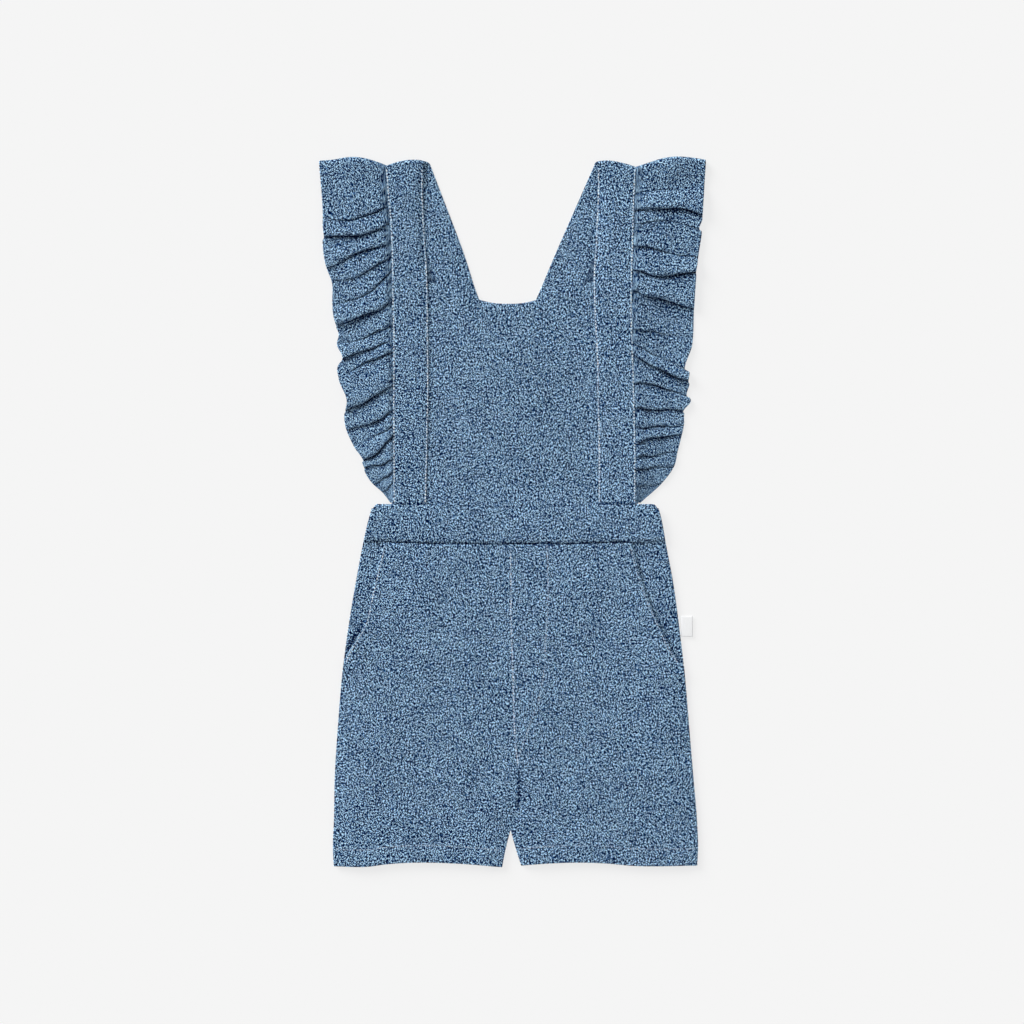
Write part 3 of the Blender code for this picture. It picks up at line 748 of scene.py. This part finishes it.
def buildStrap(side, cloth):
    out = outwards[side]
    across = stations(18, straps["width"])[None, :]
    radius = garment["shoulder"] / 2
    crown = curve(straps["crown"], columnOf[side], across)
    bend = crown - radius
    end = garment["waistTop"] - straps["backEnd"]

    def between(y):
        return mix(strapEdge(side, y), strapEdge(side, y, "inner"), across)

    foot = bandEdge(between(garment["waistTop"])) - band["tuckIn"]
    y = mix(foot, bend, stations(150, straps["length"])[:-1, None])
    front = [
        points(between(y), y, strapTop(across, y)),
        points(between(y), y, garment["strapUnderside"] - strapDroop(across, y)),
    ]
    entering = bandShade(between(y), y, straps["waistShade"])
    shift = -out * straps["shoulderShift"][side]
    shoulder = foldOver(between(bend), crown, radius, garment["knit"], np.linspace(0, pi, 15), shift, across)
    y = mix(bend, end, stations(150, straps["length"])[1:, None])
    x = between(bend) + shift - out * (straps["slant"][side] * (bend - y) - neckCurve(side, y))
    low = backStrapHeight(side, y)
    back = [points(x, y, low), points(x, y, low + garment["knit"])]
    outer, inner = (np.concatenate(parts) for parts in zip(front, shoulder, back))
    weave = [np.broadcast_to(across * straps["width"], outer.shape[:2]), lengthsAlong(outer)]
    weave = np.stack(weave, axis=-1)
    weave[..., 0] *= -out
    shade = np.zeros(outer.shape[:2])
    shade[: len(entering)] = entering
    return clothPiece(
        f"strap_{side}_cloth", f"strap_{side}", outer, inner, weave, cloth, (0.2, 0.2, 0.6, 0.8), shade=shade
    )


bib = {
    # across, height
    "neckline": [
        (-80.0, 419.0), (-61.0, 412.7), (-42.0, 406.0), (-24.0, 399.6), (-16.0, 397.5), (-3.0, 396.5),
        (10.0, 397.5), (17.0, 399.3), (37.0, 406.0), (58.0, 412.7), (80.0, 419.0),
    ],
    "tuck": 4.5,  # how far inside the straps' outer edges it ends
    "halfWidth": 80.0,
    "length": 150.0,
    "openHalf": 59.0,
    "sideFlat": 14.0,  # the folds fade out this near to the straps
    "neckHem": 7.0,
    "neckHemRise": 0.18,
    "waistRise": 1.2,  # the seam allowance lifts it towards the waistband
    "riseWidth": 16.0,
    "overCrossing": (38.0, 64.0),  # it lies over the upper back strap this far up and down from the crossing
    "overStrap": (21.0, 40.0),  # and comes down between these distances from that strap's middle
    # painted shade where it goes into the waistband
    "waistShade": 0.24,
    "flat": (0.172, 0.182),
}


def bibTop(x, y):
    near = fade(*bib["overCrossing"], np.abs(y - straps["crossing"]))
    beside = fade(*bib["overStrap"], np.abs(x - strapCentre("left", y)))
    betweenStraps = smooth(0, bib["sideFlat"], bib["openHalf"] - np.abs(x))
    fromNeck = curve(bib["neckline"], 1, x) - y
    hem = bib["neckHemRise"] * fade(bib["neckHem"] - 0.8, bib["neckHem"] + 0.5, fromNeck)
    rise = bib["waistRise"] * fade(0.0, bib["riseWidth"], y - garment["waistTop"])
    level = garment["onBack"] + garment["thinKnit"] + garment["onBack"] * near * beside
    return level + (rise + relief("front", x, y) + hem) * betweenStraps


def buildBib(cloth):
    share = stations(130, 2 * bib["halfWidth"])[None, :]
    up = stations(118, bib["length"])[:, None]
    x = mix(-bib["halfWidth"], bib["halfWidth"], share)
    for _ in range(3):
        y = mix(bandEdge(x) - band["tuckIn"], curve(bib["neckline"], 1, x), up)
        x = mix(strapEdge("left", y) + bib["tuck"], strapEdge("right", y) - bib["tuck"], share)
    top = points(x, y, bibTop(x, y))
    under = underside(top, garment["thinKnit"], garment["onBack"])
    return clothPiece(
        "bib_cloth", "bib_front", top, under, points(x, y, 0)[..., :2], cloth, (0.2, 1, 1, 1),
        shade=bandShade(x, y, bib["waistShade"]),
    )


ruffles = {
    # share across from the sewn edge, left height, right height
    "crown": [
        (0.00, 493.7, 492.9), (0.18, 497.2, 495.8), (0.36, 499.3, 498.6), (0.55, 499.7, 500.0),
        (0.80, 497.9, 499.4), (1.00, 497.2, 497.9),
    ],
    # for each fold from the shoulder down: the height of its crease on the sewn edge and on the free edge,
    # the free edge's distance from the centre line, the crease's sag, its depth on the sewn edge, midway and
    # on the free edge, and how far it cuts into the free edge
    "folds": {
        "left": [
            (464.8, 457.0, 133.5, 4.4, 1.8, 2.6, 0.2, 0.0), (452.8, 443.7, 133.8, 3.5, 2.0, 4.0, 3.5, 1.1),
            (439.4, 421.0, 130.6, -1.4, 2.0, 2.5, 2.0, 0.0), (430.3, 412.7, 127.4, 4.2, 2.0, 2.0, 0.6, 0.0),
            (419.7, 396.0, 126.8, 5.6, 2.0, 2.0, 0.6, 0.0), (397.9, 381.7, 125.0, 2.1, 2.5, 4.0, 4.0, 0.7),
            (381.7, 368.5, 123.6, 2.1, 2.0, 1.5, 0.3, 0.0), (371.5, 357.3, 120.2, 0.0, 0.6, 3.0, 3.5, 0.3),
            (362.7, 344.4, 122.5, -0.7, 2.6, 2.4, 0.3, 0.0), (338.7, 321.1, 118.3, 0.7, 2.5, 4.0, 4.0, 0.7),
            (321.1, 307.7, 116.9, 2.1, 2.0, 2.5, 1.2, 0.0), (311.3, 297.2, 112.2, 2.1, 1.8, 0.8, 0.4, 0.0),
            (304.2, 286.5, 106.3, 2.8, 2.5, 3.5, 3.0, 1.1), (287.3, 281.0, 105.0, 0.7, 2.0, 2.0, 2.0, 0.7),
            (278.9, 269.7, 98.2, 1.4, 1.8, 1.5, 1.0, 0.0), (271.1, 264.1, 91.9, 0.7, 1.5, 1.0, 0.8, 0.0),
            (256.1, 256.4, 85.8, 0.0, 0.8, 0.5, 0.3, 0.0),
        ],
        "right": [
            (473.9, 479.6, 135.0, 0.0, 0.8, 0.5, 0.3, 0.0), (461.3, 458.5, 133.7, -3.9, 2.0, 4.0, 4.0, 0.0),
            (452.8, 449.3, 133.5, -3.0, 1.5, 0.8, 1.2, 2.1), (437.3, 428.9, 130.6, 0.0, 2.0, 2.0, 0.8, 0.0),
            (420.4, 419.0, 129.6, 3.5, 2.5, 4.0, 4.0, 0.4), (405.6, 393.0, 127.8, 0.7, 2.5, 4.0, 4.0, 0.0),
            (378.2, 373.0, 127.1, 0.0, 1.8, 0.8, 0.3, 0.0), (369.0, 350.0, 124.6, 0.0, 1.5, 0.8, 2.0, 3.5),
            (361.4, 342.3, 124.6, 2.8, 2.5, 4.5, 4.5, 0.7), (340.1, 331.5, 124.6, -2.4, 2.0, 2.5, 1.0, 1.9),
            (323.2, 321.1, 121.4, 0.0, 2.0, 2.5, 2.2, 1.1), (309.9, 311.3, 120.7, 1.1, 2.0, 2.0, 1.0, 0.0),
            (297.2, 304.2, 119.2, -2.1, 2.5, 3.0, 1.5, 0.0), (288.7, 292.3, 116.2, 0.0, 2.0, 1.5, 0.6, 0.0),
            (279.6, 282.4, 113.9, 0.0, 2.0, 1.5, 1.0, 0.0), (267.6, 270.4, 105.3, 0.0, 1.5, 1.0, 0.8, 0.0),
            (256.1, 256.3, 89.8, 0.0, 0.8, 0.5, 0.3, 0.0),
        ],
    },
    # height, distance from the centre line: the free edge between two creases where it isn't an even curve
    "bulges": {"left": [(375.5, 122.4), (352.8, 123.0), (327.5, 117.0)], "right": [(328.0, 125.6)]},
    # from one crease down to the next: how far down, millimetres up or down from there for a deep crease,
    # how high the fold stands as a share of its depth, and how much painted shade it gets
    "profile": [
        (0.0, -0.2, 0.02, 0.8), (0.0, -0.42, 0.16, 0.4), (0.02, -0.66, 0.34, 0.3), (0.06, -0.9, 0.46, 0.25),
        (0.14, -0.7, 0.56, 0.18), (0.25, -0.3, 0.67, 0.12), (0.38, 0.0, 0.78, 0.06), (0.52, 0.0, 0.87, 0.0),
        (0.64, 0.0, 0.94, 0.0), (0.75, 0.1, 0.98, 0.0), (0.85, 0.25, 1.0, 0.0), (0.93, 0.38, 0.98, 0.0),
        (0.98, 0.4, 0.9, 0.0), (1.0, 0.34, 0.74, 0.1), (1.0, 0.26, 0.4, 0.32), (1.0, 0.17, 0.05, 0.8),
        (1.0, 0.0, 0.0, 0.8),
    ],
    "tip": 136.0,
    "spread": 48.0,  # its width of cloth, gathered folds and all
    "puff": 1.0,  # the gathers swell beside the seam
    "shoulderPuff": 2.0,  # how much fuller the shoulder fold is in its middle
    "backLength": 104.0,
    "backEnd": 5.0,  # width at its end behind the shoulder
    "clearOfBack": 0.4,  # room between the front and the back, which ends between the next two heights
    "backEndsBetween": (395.0, 425.0),
    "gathers": 0.5,  # height of the small puckers beside the seam
    "gatherWave": 6.4,
    "wander": 0.9,  # how far a crease strays from its smooth line
    # painted shade in the hollows of the puckers
    "puckerShade": 0.3,
    "underStrap": 1.2,  # how far below the strap's top it is sewn on
    "seamFall": 0.34,  # share of the width over which it comes down from there
    "backGathers": 0.35,
    "backGatherWave": 5.2,
    # painted shade on the gathers behind the shoulder
    "backGatherShade": 0.4,
    "flat": (0.05, 0.44),
}


def ruffleSeam(side, y):
    return np.abs(strapEdge(side, y)) - garment["lap"]


def puckers(y, across, phase):
    wave = np.sin(2 * pi * y / ruffles["gatherWave"] + 1.9 * np.sin(y / 7.1 + phase) + 2.3 * np.sin(y / 19.0))
    return ruffles["gathers"] * wave * plateau(0.0, 0.03, 0.06, 0.30, across)


def ruffleFront(side, across):
    # top of a ruffle's front, from the shoulder fold down to the waistband
    crown = curve(ruffles["crown"], columnOf[side], across)
    radius = (garment["shoulder"] + ruffles["shoulderPuff"] * np.sin(pi * across) ** 2) / 2
    bend = crown - radius
    rows, reach, shades = [], [], []
    outline = [(bend[-1], ruffles["tip"]), *ruffles["bulges"][side]]
    outline += [fold[1:3] for fold in ruffles["folds"][side]]
    start, nickStart, depthBefore = bend, 0.0, 0 * across
    for number, (seam, free, _, sag, atSeam, midway, atTip, nick) in enumerate(ruffles["folds"][side]):
        line = mix(seam, free, across) - sag * 4 * across * (1 - across)
        slow = np.sin(7 * across + 2.1 * number) * np.sin(pi * across)
        quick = np.sin(19 * across + 1.3 * number) * np.exp(-across / 0.2) * smooth(0, 0.1, across)
        line = line + ruffles["wander"] * (slow + quick)
        strength = 0.62 + 0.38 * np.sin(8 * across + 1.7 * number)
        depth = np.interp(across, (0.0, 0.5, 1.0), (atSeam, midway, atTip))
        for down, offset, share, dark in ruffles["profile"]:
            nearDepth = mix(depthBefore, depth, smooth(0.3, 0.6, down))
            y = mix(start, line, down) + offset * np.clip(nearDepth / 2.5, 0.25, 1.2)
            tip = curve(outline, 1, y[-1])
            tip = tip - nick * smooth(0.2, 1.0, down) - nickStart * fade(0.0, 0.08, down)
            x = mix(ruffleSeam(side, y), tip, across)
            clear = (garment["thinKnit"] + ruffles["clearOfBack"]) * smooth(*ruffles["backEndsBetween"], y)
            sewnOn = garment["shoulder"] - ruffles["underStrap"]
            creased = mix(sewnOn, garment["thinKnit"] + clear, smooth(0.0, ruffles["seamFall"], across))
            swell = ruffles["puff"] * np.sin(pi * np.minimum(across / 0.6, 1.0)) * mix(0.4, 1.0, share)
            pucker = puckers(y, across, 0.0 if side == "left" else 2.0)
            z = creased + swell + depth * share * mix(0.6, 1.0, smooth(0.0, 0.12, across)) + pucker
            if number == 0:
                z = mix(2 * radius, z, smooth(0.0, 1.0, down))
            rows.append(points(x * outwards[side], y, z))
            reach.append(clear)
            # painted shade deep in each crease and in the puckers' hollows
            creaseShade = dark * strength * np.clip(nearDepth / 2.6, 0, 1.1) ** 0.6
            hollow = np.clip(-pucker / ruffles["gathers"], 0, 1) ** 2
            shades.append(np.maximum(creaseShade, ruffles["puckerShade"] * hollow))
        start, nickStart, depthBefore = line, nick, depth
    return radius, bend, np.array(rows), np.array(reach), np.array(shades)


def buildRuffle(side, cloth):
    out = outwards[side]
    across = stations(42, ruffles["spread"])
    radius, bend, top, lowest, shades = ruffleFront(side, across)
    under = underside(top, garment["thinKnit"], lowest)
    topX = mix(ruffleSeam(side, bend), ruffles["tip"], across) * out
    shift = -out * straps["shoulderShift"][side]
    shoulder = foldOver(topX, bend + radius, radius, garment["thinKnit"], np.linspace(0, pi, 15), shift, 0.0)
    down = stations(60, ruffles["backLength"])[1:, None]
    y = bend - ruffles["backLength"] * down * mix(1.0, 0.9, across)
    width = mix(ruffles["tip"] - ruffleSeam(side, bend[0]), ruffles["backEnd"], down**1.4)
    inLine = ruffleSeam(side, bend[0]) - straps["shoulderShift"][side] - straps["slant"][side] * (bend[0] - y)
    x = (inLine + width * across) * out
    wave = 1 - np.cos(2 * pi * y / ruffles["backGatherWave"] + 2.0 * np.sin(y / 6.3))
    gather = wave / 2 * fade(0.2, 0.8, across) * smooth(0.0, 0.08, down)
    raised = ruffles["backGathers"] * gather
    back = [points(x, y, raised), points(x, y, garment["thinKnit"] + 0.9 * raised)]
    outer = np.concatenate([top[::-1], shoulder[0], back[0]])
    inner = np.concatenate([under[::-1], shoulder[1], back[1]])
    weave = [np.broadcast_to(across * ruffles["spread"] * out, outer.shape[:2]), lengthsAlong(outer)]
    weave = np.stack(weave, axis=-1)
    # painted shade on the back's gathers
    behind = np.zeros((len(outer) - len(shades), len(across)))
    behind[len(shoulder[0]):] = ruffles["backGatherShade"] * gather
    shade = np.concatenate([shades[::-1], behind])
    return clothPiece(f"ruffle_{side}_cloth", f"ruffle_{side}", outer, inner, weave, cloth, shade=shade)


# Side label

label = {
    "low": 162.2,
    "high": 176.8,
    "start": 118.6,
    "tip": 126.9,
    "underside": 0.6,
    "cloth": 1.2,
    "ply": 0.45,
    "lift": 0.15,  # how far its tip waves
    "wave": 6.0,
    "flat": (0.0146, 0.0166),
    "white": (0.97, 0.975, 0.98),
    "shade": (0.9, 0.91, 0.92),
    "ribs": 900.0,
}


def labelTape():
    # plain white woven tape with fine ribs
    material, shader, start = newMaterial("label_tape", 0.6, 0.1)
    place = start.node("ShaderNodeTexCoord", output="Object")
    ribs = start.node(
        "ShaderNodeTexWave",
        {"wave_type": "BANDS", "bands_direction": "Y"},
        {"Vector": place, "Scale": label["ribs"], "Distortion": 0.6, "Detail": 1.0},
        output="Fac",
    )
    colour = start.node(
        "ShaderNodeMix",
        {"data_type": "RGBA"},
        {0: ribs, 6: (*label["shade"], 1), 7: (*label["white"], 1)},
        output=2,
    )
    feed(colour, shader, "Base Color")
    relief = start.node("ShaderNodeBump", {}, {"Strength": 0.4, "Distance": 0.00008, "Height": ribs})
    feed(relief, shader, "Normal")
    return material


def buildLabel(material):
    # a tape folded on itself, with its fold at the tip and its ends inside the side seam
    radius = label["cloth"] / 2
    bend = label["tip"] - radius
    flatPart = np.linspace(label["start"], bend, 14)[:-1]
    turn = np.linspace(-pi / 2, pi / 2, 13)
    y = mix(label["low"], label["high"], stations(18, label["high"] - label["low"]))[None, :]
    faces = []
    for reach in (radius, radius - label["ply"]):
        x = np.concatenate([flatPart, bend + reach * np.cos(turn), flatPart[::-1]])[:, None]
        z = np.concatenate([flatPart * 0 - reach, reach * np.sin(turn), flatPart * 0 + reach])[:, None]
        wave = np.sin((y - label["low"]) / label["wave"])
        lift = label["lift"] * smooth(label["start"], label["tip"], x) * wave
        faces.append(points(x, y, label["underside"] + radius + z + lift))
    weave = np.stack([np.broadcast_to(y, faces[0].shape[:2]), lengthsAlong(faces[0])], axis=-1)
    return clothPiece("side_label_tape", "side_label", *faces, weave, material, slot="label")


# Topstitching

stitches = {
    "length": 1.7,
    "space": 0.6,
    "width": 0.9,
    "height": 0.5,
    "proud": 0.12,  # how far a stitch's middle stands out of the cloth
    "behind": 0.02,  # added to the height of the lines on the underside
    "wander": 0.09,
    "aboveWaist": 1.0,  # where a strap's lines start, and how high they go in front and behind
    "frontHigh": 491.0,
    "backHigh": 488.0,
    "fromStrapEdge": 0.8,
    "fromPocketEdge": 1.8,
    "pocketThread": {"left": "panel", "right": "faint"},
    # height, left outer, left inner, right outer, right inner
    "strapLines": [
        (492.0, -88.6, -63.6, 86.2, 60.6), (469.0, -86.8, -63.6, 85.1, 60.4),
        (452.0, -85.2, -62.8, 84.6, 59.6), (435.0, -84.5, -61.7, 84.2, 58.8),
        (418.0, -84.1, -60.6, 83.6, 57.6), (401.0, -84.0, -60.1, 83.4, 57.8),
        (384.0, -83.5, -60.0, 83.4, 58.4), (367.0, -83.3, -59.8, 84.0, 59.5),
        (334.0, -83.4, -59.6, 85.1, 60.2), (300.0, -83.3, -60.3, 85.8, 60.9),
        (256.0, -83.0, -61.4, 86.0, 61.1),
    ],
    # height, across: a curved line beside the centre front, like that of a fly
    "flyLine": [
        (227.0, 24.2), (188.0, 25.0), (160.0, 23.2), (135.0, 21.8), (117.0, 18.0), (100.0, 12.0),
        (78.0, 4.4),
    ],
}
uneven = np.random.default_rng(7)


def sew(name, lines, material):
    # one row of stitches on each line of points, as small rounded capsules
    mesh = bmesh.new()
    size = Matrix.Diagonal((stitches["length"] / 2, stitches["width"] / 2, stitches["height"] / 2, 1))
    for line in lines:
        line = np.asarray(line) + toRow
        along = np.concatenate([[0.0], np.cumsum(np.linalg.norm(np.diff(line, axis=0), axis=1))])
        count = max(int(along[-1] / (stitches["length"] + stitches["space"])), 1)
        pitch = along[-1] / count

        def at(distance):
            return Vector([np.interp(distance, along, line[:, k]) for k in range(3)])

        for number in range(count):
            middle = (number + 0.5) * pitch
            direction = (at(middle + 1.2) - at(middle - 1.2)).normalized()
            turn = direction.to_track_quat("X", "Z").to_matrix().to_4x4()
            shift = Vector((*(uneven.normal(0, stitches["wander"], 2)), stitches["proud"]))
            longer = Matrix.Diagonal((uneven.uniform(0.86, 1.08), uneven.uniform(0.85, 1.1), 1, 1))
            place = Matrix.Translation((at(middle) + shift) * mm)
            bmesh.ops.create_icosphere(mesh, subdivisions=2, radius=mm, matrix=place @ turn @ size @ longer)
    return finishPiece(name, meshData(name, mesh), [], material)


def strapStitches(side):
    lines = []
    low = garment["waistTop"] + stitches["aboveWaist"]
    y = np.linspace(low, stitches["frontHigh"], 240)
    for column in (outerOf[side], innerOf[side]):
        x = curve(stitches["strapLines"], column, y)
        across = np.clip((x - strapEdge(side, y)) / (strapEdge(side, y, "inner") - strapEdge(side, y)), 0, 1)
        lines.append(points(x, y, strapTop(across, y)))
    y = np.linspace(stitches["backHigh"], low, 240)
    half = straps["width"] / 2 - stitches["fromStrapEdge"]
    for beside in (-half, half):
        lines.append(points(strapCentre(side, y) + beside, y, backStrapHeight(side, y) + stitches["behind"]))
    return sew(f"stitches_strap_{side}", lines, topThread["strap"])


def shortsStitches(side):
    out = outwards[side]
    y = np.linspace(shorts["waistSeam"] - 3, shorts["pocketFoot"] + 1, 120)
    x = pocketOpening(side, y) - out * stitches["fromPocketEdge"]
    pocket = points(x, y, frontTop(side, x, y))
    height = np.array(shorts["hemDepth"] + 1)
    x = np.linspace(innerSeam(side, height), sideSeam(side, height), 120)[2:-2]
    y = curve(shorts["hem"], 1, x) + shorts["hemDepth"]
    frontHem = points(x, y, frontTop(side, x, y))
    backHem = points(x, y, stitches["behind"])
    return (
        sew(f"stitches_pocket_{side}", [pocket], topThread[stitches["pocketThread"][side]]),
        sew(f"stitches_hem_{side}", [frontHem, backHem], topThread["faint"]),
    )


def centreStitches():
    y = np.linspace(shorts["waistSeam"] - 3.5, shorts["darkSeam"][1], 200)
    x = innerSeam("left", y)
    seam = points(x, y, frontTop("right", x + 0.6, y) - 0.1)
    y = np.linspace(stitches["flyLine"][0][0], stitches["flyLine"][-1][0], 160)
    x = curve(stitches["flyLine"], 1, y)
    fly = points(x, y, frontTop("right", x, y))
    return (
        sew("stitches_centre_front", [seam], topThread["panel"]),
        sew("stitches_fly", [fly], topThread["faint"]),
    )


# Build

bodyDenim = knitDenim("knit_denim_body")
bandDenim = knitDenim("knit_denim_waistband", grain=8, lighter=0.015)
strapDenim = knitDenim("knit_denim_straps", grain=3, lighter=0.01)
ruffleDenim = knitDenim("knit_denim_ruffles", grain=12)
# the facings are a little darker: painted shade where they lie lower than the front panels
facingDenim = knitDenim("knit_denim_facings", grain=20, lighter=-0.02)
topThread = {which: twistedThread(which) for which in ("strap", "panel", "faint")}
print("cloth materials made")

bibPiece = buildBib(bodyDenim)
bandFront, bandBack = buildWaistband(bandDenim)
legs = {side: buildShorts(side, bodyDenim, facingDenim) for side in ("left", "right")}
print("bib, waistband and shorts made")
strapPieces = {side: buildStrap(side, strapDenim) for side in ("left", "right")}
rufflePieces = {side: buildRuffle(side, ruffleDenim) for side in ("left", "right")}
print("straps and ruffles made")
labelPiece = buildLabel(labelTape())
sewnStraps = {side: strapStitches(side) for side in ("left", "right")}
sewnShorts = {side: shortsStitches(side) for side in ("left", "right")}
sewnCentre = centreStitches()
print("label and topstitching made")


# Studio

studio = {
    "floorColour": (0.2, 0.2, 0.2),
    "floorGlow": 0.728,  # lights the paper from below, which keeps the shadows faint
    "world": 0.5,
    "sunStrength": 3.24,
    "sunSize": 32.0,  # how soft the shadows are, in degrees
    "sunTurn": (66.0, 0.0, -135.0),
    "frameWidth": 0.7211,
    "lens": 130.0,
    "offset": -0.00035,
}


def buildStudio():
    mesh = bmesh.new()
    bmesh.ops.create_grid(mesh, x_segments=1, y_segments=1, size=3.0)
    floor = addObject("floor", meshData("floor", mesh))
    material, shader, start = newMaterial("floor_paper", 0.95)
    shader.inputs["Base Color"].default_value = (*studio["floorColour"], 1)
    shader.inputs["Emission Color"].default_value = (1, 1, 1, 1)
    shader.inputs["Emission Strength"].default_value = studio["floorGlow"]
    floor.data.materials.append(material)

    world = bpy.data.worlds.new("studio")
    world.use_nodes = True
    sky = world.node_tree.nodes["Background"]
    sky.inputs["Color"].default_value = (1, 1, 1, 1)
    sky.inputs["Strength"].default_value = studio["world"]
    bpy.context.scene.world = world

    lamp = bpy.data.lights.new("sun", "SUN")
    lamp.energy = studio["sunStrength"]
    lamp.angle = radians(studio["sunSize"])
    sun = addObject("sun", lamp)
    sun.rotation_euler = [radians(turn) for turn in studio["sunTurn"]]

    lens = bpy.data.cameras.new("camera")
    lens.lens = studio["lens"]
    camera = addObject("camera", lens)
    camera.location = (studio["offset"], 0, studio["frameWidth"] * studio["lens"] / lens.sensor_width)
    bpy.context.scene.camera = camera
    bpy.context.scene.view_settings.view_transform = "Standard"


buildStudio()
print("studio made")

bpy.context.view_layer.update()
